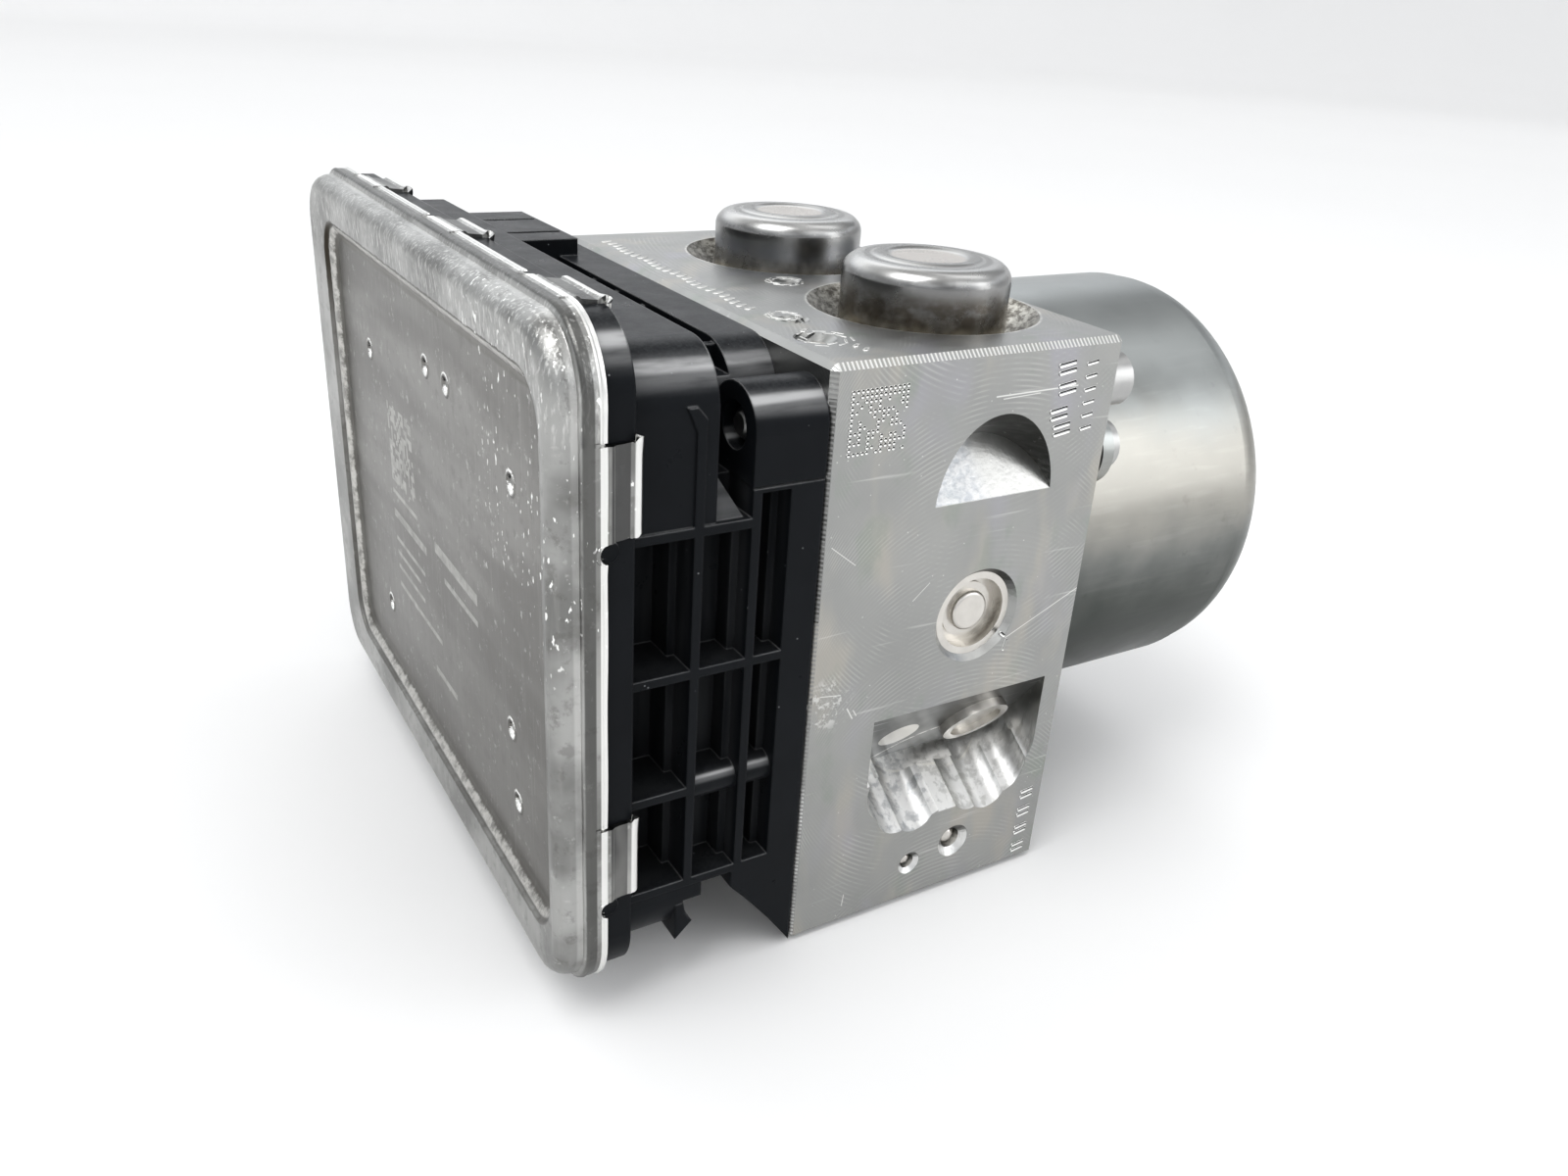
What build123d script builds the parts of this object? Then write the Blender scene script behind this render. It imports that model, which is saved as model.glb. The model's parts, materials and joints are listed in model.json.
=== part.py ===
from build123d import *
from math import cos, radians, sin
import os

# An anti-lock brake module: control unit (left), hydraulic block (middle), pump motor (right).
# The origin is the middle of the block's base. +X runs to the motor, -Y is the near side.
os.makedirs("parts", exist_ok=True)

# Fits
RUNNING_GAP = 0.05
SEAT_GAP = 0.02
TOUCH_GAP = 0.1

# Hydraulic block, as wide as the motor and the ears of its screws
MOTOR_R = 34.1
BLOCK_SIDE = 5.65
BLOCK_X = 45.0
BLOCK_Y = 2 * (MOTOR_R + BLOCK_SIDE)
BLOCK_Z = 82.5
BLOCK_EDGE = 0.8
ECU_FACE = -BLOCK_X / 2
MOTOR_FACE = BLOCK_X / 2
NEAR = -BLOCK_Y / 2
FAR = BLOCK_Y / 2
SIDES = {"near": -1, "far": 1}

# Angled spot face above the pump plug, and the double pocket below it
SPOT_X = 3.8
SPOT_Z = 62.85
SPOT_TILT = 38.0
SPOT_R = 9.5
SPOT_DROP = 0.7
POCKET_Z = 33.0
POCKET_TILT = 35.0
POCKET_R = 8.4
POCKET_DROP = 8.6
POCKET_XS = (-3.1, 10.1)
POCKET_PLUG_R = 3.15
POCKET_PLUG_DEPTH = 5.0
POCKET_SCALLOP_R = 4.0
POCKET_SCALLOPS = 9
POCKET_RIDGE = 3.2
POCKET_HEADROOM = (8.0, 3.0)
POCKET_RING_R = 5.2
POCKET_RING_WALL = 1.2
POCKET_RING_RISE = 1.3
POCKET_RING_FLOOR = 0.4
CUTTER_REACH = 16.0

# Pump: two pistons on one eccentric
PUMP_X = 3.8
SHAFT_Z = 45.8
SHAFT_R = 4.0
CAVITY_R = 11.0
CAVITY_DEPTH = 25.7
ECCENTRIC_R = 5.0
ECCENTRIC_THROW = 0.8
ECCENTRIC_WIDTH = 9.6
RING_R = 7.0
RING_WIDTH = 9.0
PUMP_PISTON_R = 3.25
PUMP_SLEEVE_R = 5.0
PUMP_SLEEVE_LENGTH = 17.0
PUMP_SLEEVE_END = 1.5
PUMP_PLUG_R = 6.1
PUMP_PLUG_LENGTH = 6.0
PUMP_PLUG_SINK = 0.9
PUMP_PLUG_MOUTH = 0.8
PUMP_PLUG_RIM = 1.0
PUMP_PLUG_CUP = 2.0
PUMP_PLUG_STEP_R = 4.0
PUMP_PLUG_STEP = 0.5
PUMP_PLUG_BUTTON_R = 2.9
PUMP_PLUG_BUTTON = 1.5
PUMP_PLUG_ROUND = 0.6
PUMP_SPRING_R = 2.9
PUMP_SPRING_WIRE = 0.6
PUMP_SPRING_TURNS = 4
PUMP_SPRING_LENGTH = 5.15

# Low-pressure accumulators
ACCUMULATOR_X = 5.8
ACCUMULATOR_Y = 18.0
ACCUMULATOR_FLOOR = 58.5
PISTON_BORE_R = 10.0
CAP_R = 11.4
CAP_WALL = 1.0
CAP_SEAT = 73.0
CAP_RISE = 6.9
CAP_TOP = BLOCK_Z + CAP_RISE
CAP_SHOULDER = 2.0
CAP_RING_R = 7.6
CAP_RING_RISE = 0.35
CAP_DISC_R = 5.2
CAP_RING_SLOPE = 0.7
RECESS_R = 15.8
RECESS_DEPTH = 3.5
RECESS_FLOOR_R = 12.0
PISTON_HEIGHT = 13.0
PISTON_FLOOR = 2.5
PISTON_CUP_R = 7.4
SEAL_WIDTH = 2.0
SEAL_DEPTH = 1.5
SEAL_LIFT = 3.5
PISTON_SPRING_R = 6.8
PISTON_SPRING_WIRE = 1.3
PISTON_SPRING_TURNS = 4

# Solenoid valves: four inlet valves below, four outlet valves above
VALVE_PITCH = 15.0
VALVE_YS = [VALVE_PITCH * place for place in (-1.5, -0.5, 0.5, 1.5)]
INLET_Z = 26.0
OUTLET_Z = 56.0
VALVE_SEAT_R = 4.3
VALVE_SEAT_LENGTH = 13.0
VALVE_TUBE_R = 3.2
VALVE_TUBE_LENGTH = 18.0
VALVE_TUBE_WALL = 0.55
VALVE_FLOW_R = 0.8
VALVE_LIFT = 0.4
PLUNGER_LENGTH = 9.0
PLUNGER_TIP = 1.6
PLUNGER_TIP_R = 1.2
COIL_WIDTH = 13.6
COIL_LENGTH = 18.0
COIL_STANDOFF = 0.6
COIL_GAP = 0.45
COIL_PIN = 0.8
COIL_PIN_SPREAD = 4.6

# Ports, plugs and screw holes of the block
WHEEL_PORT_YS = (-28.5, -9.5, 9.5, 28.5)
WHEEL_PORT_R = 4.46
WHEEL_PORT_DEPTH = 12.5
MASTER_PORT_INSET = 10.25
MASTER_PORT_Z = 9.5
MASTER_PORT_R = 5.46
MASTER_PORT_DEPTH = 14.0
BRACKET_X = 4.0
BRACKET_ZS = (20.0, 62.0)
BRACKET_R = 2.5
BRACKET_DEPTH = 9.0
PIN_BORE_INSET = 7.9
PIN_BORE_R = 4.0
NEAR_BALLS = ((-2.4, 6.6, 1.1), (5.5, 8.0, 1.6))
TOP_PLUGS = ((-4.2, 1.0, 1.3), (-15.8, -19.9, 1.2), (-18.1, -28.7, 1.6))
CRATER = 1.7
CRATER_DEPTH = 0.5
BALL_SINK = 0.3
TOP_PLUG_LENGTH = 4.0

# Motor
MOTOR_LENGTH = 47.3
MOTOR_ROUND = 7.1
MOTOR_WALL = 1.5
MOTOR_FLANGE = 2.0
MOTOR_BOSS_R = 9.6
MOTOR_BOSS_LENGTH = 4.0
MOTOR_GROOVE = 0.35
MOTOR_GROOVE_FROM_END = 8.4
MOTOR_SCREW_OFFSET = 5.4
MOTOR_SCREW_CIRCLE = MOTOR_R + MOTOR_SCREW_OFFSET
PIN_BORE_Z = SHAFT_Z + MOTOR_R - PIN_BORE_INSET
MOTOR_SCREW_ANGLES = (30, 150, 270)
EAR_R = 5.2
MOTOR_SCREW_R = 2.0
MOTOR_SCREW_HEAD_R = 3.5
MOTOR_SCREW_HEAD = 3.5
MOTOR_SCREW_LENGTH = 8.0
FRONT_PLATE = 2.5
HUB_R = 10.9
HUB_LENGTH = 9.0
BEARING_R = 8.0
BEARING_WIDTH = 5.0
HUB_FLOOR = 1.0
SHAFT_HOLE_R = 5.4
REAR_BEARING_WIDTH = 4.5
MAGNET_COUNT = 4
MAGNET_ARC = 70.0
MAGNET_THICKNESS = 6.0
MAGNET_END_GAP = 0.8
MAGNET_START = 10.0
ROTOR_GAP = 0.6
ROTOR_START = 17.5
ROTOR_END_GAP = 2.1
ROTOR_SLOTS = 12
SLOT_WIDTH = 5.0
SLOT_DEPTH = 9.0
WINDING_OVERHANG = 4.0
WINDING_GAP = 0.2
ROTOR_LENGTH = MOTOR_LENGTH - MOTOR_WALL - ROTOR_END_GAP - WINDING_OVERHANG - WINDING_GAP - ROTOR_START
COMMUTATOR_R = 8.5
COMMUTATOR_LENGTH = 9.0
COMMUTATOR_START = 4.0
BRUSH_HOLDER_GAP = 1.6
BRUSH_HOLDER = 1.6
BRUSH_WIDTH = 4.5
BRUSH_HEIGHT = 6.0
BRUSH_LENGTH = 9.0
BRUSH_BOX_WALL = 1.0
BRUSH_BOX_LENGTH = 13.0
BRUSH_BOX_LIFT = 1.0
BRUSH_SPRING_SHEET = 0.5

# Control-unit housing: distances out from the block's control-unit face
FLANGE_FRONT = 31.0
FLANGE_BACK = 24.9
BOX_BACK = 14.0
FRAME_FRONT = 6.3
BOARD_CHAMBER = 4.5
MID_PLATE = 1.6
# Heights and side limits of the housing
FLANGE_OVERHANG = 1.9
FAR_OVERHANG = 26.5
FLANGE_Z = (5.0, 89.5)
FLANGE_CORNER = 8.0
BOX_INSET = 0.3
BOX_Z = (7.0, 85.4)
BOX_CORNER = 7.0
BOX_FAR = 25.0
FRAME_Z = (13.0, 82.0)
FRAME_CORNER = 7.2
FRAME_NEAR_TOP = 11.6
FRAME_NEAR = 5.7
PARTING_Z = 69.3
PARTING = 0.25
GROOVE_FLOOR = 78.5
GROOVE_WEB_TOP = 81.3
GROOVE_WEB_YS = (17.0, 36.6, 45.0, 52.8)
WEB = 1.2
PAD_X = (12.7, 3.5)
PAD_Y = (66.0, 90.0)
PAD_TOP = 84.5
PAD_SLOT_YS = (72.0, 83.0)
PAD_SLOT = (8.4, 1.2)
PAD_SLOT_DEPTH = 2.0
RIB = 1.2
RIB_XS = (16.2, 8.9)
RIB_ZS = (16.3, 30.4, 46.9, 65.0)
RIB_STRIP = 4.5
LAST_POCKET_TOP = 68.5
DEEP_POCKET_WALL = 1.5
POCKET_LEDGE = 1.0
HALF_ROUND_R = 2.0
HALF_ROUND_Z = 29.7
HALF_ROUND_FRONT = 0.6
FIN_TOP = 79.4
FIN_BEND = (1.2, 1.4)
GUSSET = ((15.7, 76.0), (15.7, 65.0), (9.9, 65.0))
GUSSET_SLOPE = ((0.5, 65.0), (3.0, 69.6), (7.5, 76.5), (9.0, 76.5), (9.0, 65.0))
BOX_LOW_BACK = 16.5
BOX_LOW_Z = 13.2
HOOK = ((17.6, 7.2), (15.2, 9.5), (16.2, 10.9), (16.5, 12.8), (17.6, 12.8))
HOOK_WIDTH = 8.0
CHAMBER_NEAR = VALVE_YS[0] - COIL_WIDTH / 2 - COIL_GAP - NEAR
CHAMBER_FAR = VALVE_YS[-1] + COIL_WIDTH / 2 + 2 * COIL_GAP
CHAMBER_Z = (16.0, 77.0)
CHAMBER_CUT = (7.0, 13.5)
CORNER_CURVE = ((9.8, 13.2), (5.2, 7.7), (0.0, 0.5))

# Housing screws, put in from the motor side
SCREW_INSET = 5.05
UPPER_SCREW = (FAR - SCREW_INSET, 75.2)
LOWER_SCREW = (19.0, 7.0)
HOUSING_SCREW_R = 1.95
HOUSING_SCREW_HEAD_R = 3.7
HOUSING_SCREW_HEAD = 5.0
HOUSING_SCREW_TIP = 9.0
SCREW_CHAMFER = 0.7
SCREW_BOSS_R = 5.1
SCREW_BOSS_FRONT = 9.6
SCREW_BOSS_RECESS_R = 2.85
SCREW_BOSS_RECESS = 2.6
SCREW_BOSS_FOOT_Z = 68.3

# Connector beyond the block's far face
CONNECTOR_Y = (3.6, 25.4)
CONNECTOR_Z = (22.0, 78.0)
CONNECTOR_CORNER = 4.0
CONNECTOR_WALL = 2.0
CONNECTOR_REACH = 8.0
SOCKET_DEPTH = 15.5
SOCKET_FLOOR = 3.0
PIN_SIZE = 1.0
PIN_TIP = 6.0
PIN_PITCH = 4.4
PIN_ROWS = 2
PIN_COLUMNS = 10
PIN_ROW_PITCH = 8.0

# Circuit board
BOARD = 1.6
BOARD_LIFT = 0.8
BOARD_INSET = 4.0
CHIP_HEIGHT = 1.4
CHIPS = ((-15.0, 58.0, 16.0, 16.0), (12.0, 60.0, 9.0, 12.0), (-14.0, 30.0, 8.0, 20.0), (30.0, 66.0, 12.0, 7.0))
BOARD_POST = 4.0

# Lid: pressed sheet crimped round the housing flange
LID_FRONT = 34.2
LID_SKIRT_BACK = 28.3
LID_SHEET = 1.0
LID_STEP = 0.7
LID_CORNER = 9.0
LID_EDGE = 1.5
PANEL_NEAR = 4.8
PANEL_FAR = 11.0
PANEL_LOW = 8.1
PANEL_HIGH = 7.1
PANEL_DEPTH = 1.75
PANEL_SLOPE = 40.0
PANEL_CORNER = 6.0
TAB_BACK = 24.0
TAB_WIDTH = 10.8
TAB_LIP = 1.7
NEAR_TAB_ZS = (24.9, 72.0)
TOP_TAB_YS = (-28.2, 8.3, 44.8)
NOTCH_R = 1.1
LID_SEAL_WIDTH = 1.6
BLOCK_SEAL = 1.6


def out(distance):
    """X of a plane that lies this far out from the block's control-unit face."""
    return ECU_FACE - distance


def across(x):
    """Plane square to the shaft: its x is Y, its y is Z, and it faces the motor."""
    return Plane.YZ.offset(x)


def along_x(x, y, z):
    """Plane through a line along X, for turned sections: its x is X."""
    return Plane(origin=(x, y, z), x_dir=(1, 0, 0), z_dir=(0, -1, 0))


def upward(x, y, z):
    """Plane through a vertical line, for turned sections: its x is Z."""
    return Plane(origin=(x, y, z), x_dir=(0, 0, 1), z_dir=(0, -1, 0))


def pump_line(side):
    """Plane through one pump's line: its x runs outward from the shaft axis."""
    return Plane(origin=(PUMP_X, 0, SHAFT_Z), x_dir=(0, side, 0), z_dir=(1, 0, 0))


def turn(plane, outline, rounds=(), mode=Mode.ADD):
    """Revolve an outline of (along, radius) points about the x axis of its plane."""
    with BuildSketch(plane) as section:
        with BuildLine():
            Polyline(*outline, close=True)
        make_face()
        for corner, radius in rounds:
            fillet(section.vertices().sort_by_distance(corner)[0], radius)
    revolve(section.sketch, axis=Axis(plane.origin, plane.x_dir), mode=mode)


def chamber(x, grow=0, mode=Mode.ADD):
    """The coil chamber between two X limits, with its upper near corner cut off."""
    near = NEAR + CHAMBER_NEAR
    low, high = CHAMBER_Z
    with BuildSketch(across(x[0])) as outline:
        with BuildLine():
            Polyline(
                (near, low),
                (CHAMBER_FAR, low),
                (CHAMBER_FAR, high),
                (near + CHAMBER_CUT[0], high),
                (near, high - CHAMBER_CUT[1]),
                close=True,
            )
        make_face()
        if grow:
            offset(amount=grow)
    extrude(outline.sketch, amount=x[1] - x[0], mode=mode)


def slab(x, y, z, mode=Mode.ADD):
    """A straight block given by its limits along X, Y and Z."""
    with BuildSketch(Plane.XY.offset(min(z))) as base:
        with Locations(((x[0] + x[1]) / 2, (y[0] + y[1]) / 2)):
            Rectangle(abs(x[1] - x[0]), abs(y[1] - y[0]))
    extrude(base.sketch, amount=abs(z[1] - z[0]), mode=mode)


def plate(x, y, z, corner, mode=Mode.ADD, taper=0):
    """A plate square to X with rounded corners, given by its limits."""
    with BuildSketch(across(x[0])) as outline:
        with Locations(((y[0] + y[1]) / 2, (z[0] + z[1]) / 2)):
            RectangleRounded(y[1] - y[0], z[1] - z[0], corner)
    extrude(outline.sketch, amount=x[1] - x[0], taper=taper, mode=mode)


def drill(spots, radius, depth):
    """Blind holes of one size, each square to the plane that marks it."""
    with Locations(*spots):
        Hole(radius, depth)


def crater_bore(radius, depth):
    """Outline of a bore with a conical crater at its mouth, (depth, radius) points."""
    return [
        (0, 0),
        (0, radius * CRATER),
        (radius * CRATER_DEPTH, radius + SEAT_GAP),
        (depth, radius + SEAT_GAP),
        (depth, 0),
    ]


def shrink(limits, gap):
    """Limits drawn in by the same gap at both ends."""
    return (limits[0] + gap, limits[1] - gap)


def coil_spring(origin, direction, length, radius, wire, turns):
    """A spring of square wire along a direction, its ends inside the given length."""
    rise = length - wire
    first = Vector(*origin) + Vector(*direction) * (wire / 2)
    with BuildLine() as path:
        Helix(pitch=rise / turns, height=rise, radius=radius - wire / 2, center=first, direction=direction)
    with BuildSketch(Plane(origin=path.line @ 0, z_dir=path.line % 0)) as section:
        Rectangle(wire, wire)
    sweep(section.sketch, path=path.line, is_frenet=True)


on_ecu = [Plane(origin=(ECU_FACE, y, z), z_dir=(-1, 0, 0)) for z in (INLET_Z, OUTLET_Z) for y in VALVE_YS]
housing_screw_spots = [(side * y, z) for y, z in (UPPER_SCREW, LOWER_SCREW) for side in SIDES.values()]
motor_screw_spots = [
    (MOTOR_SCREW_CIRCLE * cos(radians(angle)), SHAFT_Z + MOTOR_SCREW_CIRCLE * sin(radians(angle)))
    for angle in MOTOR_SCREW_ANGLES
]
spot_plane = Plane(
    origin=(SPOT_X, NEAR, SPOT_Z),
    x_dir=(1, 0, 0),
    z_dir=(0, -cos(radians(SPOT_TILT)), sin(radians(SPOT_TILT))),
)
pocket_plane = Plane(
    origin=(0, NEAR, POCKET_Z),
    x_dir=(1, 0, 0),
    z_dir=(0, -cos(radians(POCKET_TILT)), -sin(radians(POCKET_TILT))),
)
pocket_middle = (POCKET_XS[0] + POCKET_XS[1]) / 2
pocket_spots = [
    Plane(origin=pocket_plane.from_local_coords((x, -POCKET_DROP, 0)), x_dir=(1, 0, 0), z_dir=pocket_plane.z_dir)
    for x in POCKET_XS
]
sleeve_start = FAR - PUMP_PLUG_LENGTH - PUMP_SLEEVE_LENGTH
sleeve_end = FAR - PUMP_PLUG_LENGTH
piston_start = RING_R + ECCENTRIC_THROW + TOUCH_GAP
piston_end = sleeve_end - PUMP_SLEEVE_END - PUMP_SPRING_LENGTH - 2 * TOUCH_GAP

# Hydraulic block
with BuildPart() as hydraulic_block:
    with BuildSketch(Plane.XY):
        Rectangle(BLOCK_X, BLOCK_Y)
    extrude(amount=BLOCK_Z)
    chamfer(hydraulic_block.edges(), BLOCK_EDGE)
    # Accumulator bores with their cap seats and conical recesses
    for side in SIDES.values():
        bore = [
            (ACCUMULATOR_FLOOR, 0),
            (ACCUMULATOR_FLOOR, PISTON_BORE_R),
            (CAP_SEAT, PISTON_BORE_R),
            (CAP_SEAT, CAP_R + SEAT_GAP),
            (BLOCK_Z - RECESS_DEPTH, CAP_R + SEAT_GAP),
            (BLOCK_Z - RECESS_DEPTH, RECESS_FLOOR_R),
            (BLOCK_Z, RECESS_R),
            (BLOCK_Z + CUTTER_REACH, RECESS_R),
            (BLOCK_Z + CUTTER_REACH, 0),
        ]
        turn(upward(ACCUMULATOR_X, side * ACCUMULATOR_Y, 0), bore, mode=Mode.SUBTRACT)
    # Shaft cavity, and the pump bores that run from it to the near and far faces
    drill([Plane(origin=(MOTOR_FACE, 0, SHAFT_Z), z_dir=(1, 0, 0))], CAVITY_R, CAVITY_DEPTH)
    for side in SIDES.values():
        bore = [
            (0, 0),
            (0, PUMP_PISTON_R + RUNNING_GAP),
            (sleeve_start, PUMP_PISTON_R + RUNNING_GAP),
            (sleeve_start, PUMP_SLEEVE_R + SEAT_GAP),
            (sleeve_end, PUMP_SLEEVE_R + SEAT_GAP),
            (sleeve_end, PUMP_PLUG_R + SEAT_GAP),
            (FAR - PUMP_PLUG_SINK, PUMP_PLUG_R + SEAT_GAP),
            (FAR, PUMP_PLUG_R + PUMP_PLUG_MOUTH),
            (FAR, 0),
        ]
        turn(pump_line(side), bore, mode=Mode.SUBTRACT)
    # Angled spot face above the pump plug
    with BuildSketch(spot_plane):
        with Locations((0, -SPOT_DROP)):
            Circle(SPOT_R)
    extrude(amount=CUTTER_REACH, mode=Mode.SUBTRACT)
    # Double pocket below the pump plug, with the bores of its two plugs
    with BuildSketch(pocket_plane):
        with Locations(*[(x, -POCKET_DROP) for x in POCKET_XS]):
            Circle(POCKET_R - POCKET_SCALLOP_R)
            with PolarLocations(POCKET_R - POCKET_SCALLOP_R, POCKET_SCALLOPS):
                Circle(POCKET_SCALLOP_R)
        with Locations((pocket_middle, (POCKET_R - POCKET_DROP) / 2)):
            Rectangle(POCKET_XS[1] - POCKET_XS[0] + 2 * POCKET_R, POCKET_DROP + POCKET_R)
        # The ridge between the two lobes is milled flat
        ridge_reach = (POCKET_XS[1] - POCKET_XS[0] - POCKET_RIDGE) / 2
        with Locations((pocket_middle, -POCKET_DROP)):
            Rectangle(POCKET_RIDGE, 2 * (POCKET_R**2 - ridge_reach**2) ** 0.5)
    extrude(amount=CUTTER_REACH, mode=Mode.SUBTRACT)
    with BuildSketch(pocket_plane):
        with Locations((pocket_middle, -POCKET_DROP)):
            SlotCenterToCenter(POCKET_XS[1] - POCKET_XS[0], 2 * POCKET_HEADROOM[0])
    extrude(amount=POCKET_HEADROOM[1], mode=Mode.SUBTRACT)
    drill(pocket_spots, POCKET_PLUG_R + SEAT_GAP, POCKET_PLUG_DEPTH)
    # Valve bores, contact bore, ports and threaded holes
    drill(on_ecu, VALVE_SEAT_R + SEAT_GAP, VALVE_SEAT_LENGTH)
    drill([Plane(origin=(MOTOR_FACE, 0, PIN_BORE_Z), z_dir=(1, 0, 0))], PIN_BORE_R, BLOCK_X)
    drill([Plane(origin=(0, y, 0), z_dir=(0, 0, -1)) for y in WHEEL_PORT_YS], WHEEL_PORT_R, WHEEL_PORT_DEPTH)
    master_spots = [(side * (FAR - MASTER_PORT_INSET), MASTER_PORT_Z) for side in SIDES.values()]
    drill(
        [Plane(origin=(MOTOR_FACE, y, z), z_dir=(1, 0, 0)) for y, z in master_spots],
        MASTER_PORT_R,
        MASTER_PORT_DEPTH,
    )
    drill(
        [Plane(origin=(MOTOR_FACE, y, z), z_dir=(1, 0, 0)) for y, z in motor_screw_spots],
        MOTOR_SCREW_R + SEAT_GAP,
        MOTOR_SCREW_LENGTH + TOUCH_GAP,
    )
    drill(
        [Plane(origin=(MOTOR_FACE, y, z), z_dir=(1, 0, 0)) for y, z in housing_screw_spots],
        HOUSING_SCREW_R + TOUCH_GAP,
        BLOCK_X,
    )
    drill([Plane(origin=(BRACKET_X, FAR, z), z_dir=(0, 1, 0)) for z in BRACKET_ZS], BRACKET_R, BRACKET_DEPTH)
    # Bores of the pressed balls and small plugs, each in its staked crater
    for x, z, radius in NEAR_BALLS:
        depth = radius * CRATER_DEPTH + BALL_SINK + 2 * radius
        outline = crater_bore(radius, depth)
        turn(Plane(origin=(x, NEAR, z), x_dir=(0, 1, 0), z_dir=(1, 0, 0)), outline, mode=Mode.SUBTRACT)
    for x, y, radius in TOP_PLUGS:
        outline = crater_bore(radius, TOP_PLUG_LENGTH)
        turn(Plane(origin=(x, y, BLOCK_Z), x_dir=(0, 0, -1), z_dir=(1, 0, 0)), outline, mode=Mode.SUBTRACT)
hydraulic_block.part.label = "hydraulic_block"
export_step(hydraulic_block.part, "parts/hydraulic_block.step")

# Pressed balls, small plugs and the two pocket plugs
with BuildPart() as gallery_balls:
    for x, z, radius in NEAR_BALLS:
        with Locations((x, NEAR + radius * CRATER_DEPTH + BALL_SINK + radius, z)):
            Sphere(radius)
gallery_balls.part.label = "gallery_balls"
export_step(gallery_balls.part, "parts/gallery_balls.step")

with BuildPart() as top_plugs:
    for x, y, radius in TOP_PLUGS:
        with BuildSketch(Plane.XY.offset(BLOCK_Z - TOP_PLUG_LENGTH)):
            with Locations((x, y)):
                Circle(radius)
        extrude(amount=TOP_PLUG_LENGTH - radius * CRATER_DEPTH)
top_plugs.part.label = "top_plugs"
export_step(top_plugs.part, "parts/top_plugs.step")

with BuildPart() as pocket_plugs:
    for spot in pocket_spots:
        with BuildSketch(spot.offset(-POCKET_PLUG_DEPTH)):
            Circle(POCKET_PLUG_R)
        extrude(amount=POCKET_PLUG_DEPTH)
    # The second plug has a cup-shaped head
    with BuildSketch(pocket_spots[1]):
        Circle(POCKET_RING_R)
    extrude(amount=POCKET_RING_RISE)
    with BuildSketch(pocket_spots[1].offset(POCKET_RING_FLOOR)):
        Circle(POCKET_RING_R - POCKET_RING_WALL)
    extrude(amount=POCKET_RING_RISE, mode=Mode.SUBTRACT)
pocket_plugs.part.label = "pocket_plugs"
export_step(pocket_plugs.part, "parts/pocket_plugs.step")

# Pump: plug, sleeve, piston and spring on each side
for name, side in SIDES.items():
    with BuildPart() as pump_plug:
        rim = FAR - PUMP_PLUG_SINK
        cup_floor = rim - PUMP_PLUG_CUP
        step = cup_floor + PUMP_PLUG_STEP
        button = cup_floor + PUMP_PLUG_BUTTON
        outline = [
            (sleeve_end, 0),
            (sleeve_end, PUMP_PLUG_R),
            (rim, PUMP_PLUG_R),
            (rim, PUMP_PLUG_R - PUMP_PLUG_RIM),
            (cup_floor, PUMP_PLUG_R - PUMP_PLUG_RIM),
            (cup_floor, PUMP_PLUG_STEP_R),
            (step, PUMP_PLUG_STEP_R),
            (step, PUMP_PLUG_BUTTON_R),
            (button, PUMP_PLUG_BUTTON_R),
            (button, 0),
        ]
        turn(pump_line(side), outline, rounds=[((button, PUMP_PLUG_BUTTON_R), PUMP_PLUG_ROUND)])
    pump_plug.part.label = f"pump_plug_{name}"
    export_step(pump_plug.part, f"parts/pump_plug_{name}.step")

    with BuildPart() as pump_sleeve:
        outline = [
            (sleeve_start, PUMP_PISTON_R + RUNNING_GAP),
            (sleeve_start, PUMP_SLEEVE_R),
            (sleeve_end, PUMP_SLEEVE_R),
            (sleeve_end, 0),
            (sleeve_end - PUMP_SLEEVE_END, 0),
            (sleeve_end - PUMP_SLEEVE_END, PUMP_PISTON_R + RUNNING_GAP),
        ]
        turn(pump_line(side), outline)
    pump_sleeve.part.label = f"pump_sleeve_{name}"
    export_step(pump_sleeve.part, f"parts/pump_sleeve_{name}.step")

    with BuildPart() as pump_piston:
        outline = [(piston_start, 0), (piston_start, PUMP_PISTON_R), (piston_end, PUMP_PISTON_R), (piston_end, 0)]
        turn(pump_line(side), outline)
    pump_piston.part.label = f"pump_piston_{name}"
    export_step(pump_piston.part, f"parts/pump_piston_{name}.step")

    with BuildPart() as pump_spring:
        coil_spring(
            (PUMP_X, side * (piston_end + TOUCH_GAP), SHAFT_Z),
            (0, side, 0),
            PUMP_SPRING_LENGTH,
            PUMP_SPRING_R,
            PUMP_SPRING_WIRE,
            PUMP_SPRING_TURNS,
        )
    pump_spring.part.label = f"pump_spring_{name}"
    export_step(pump_spring.part, f"parts/pump_spring_{name}.step")

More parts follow.
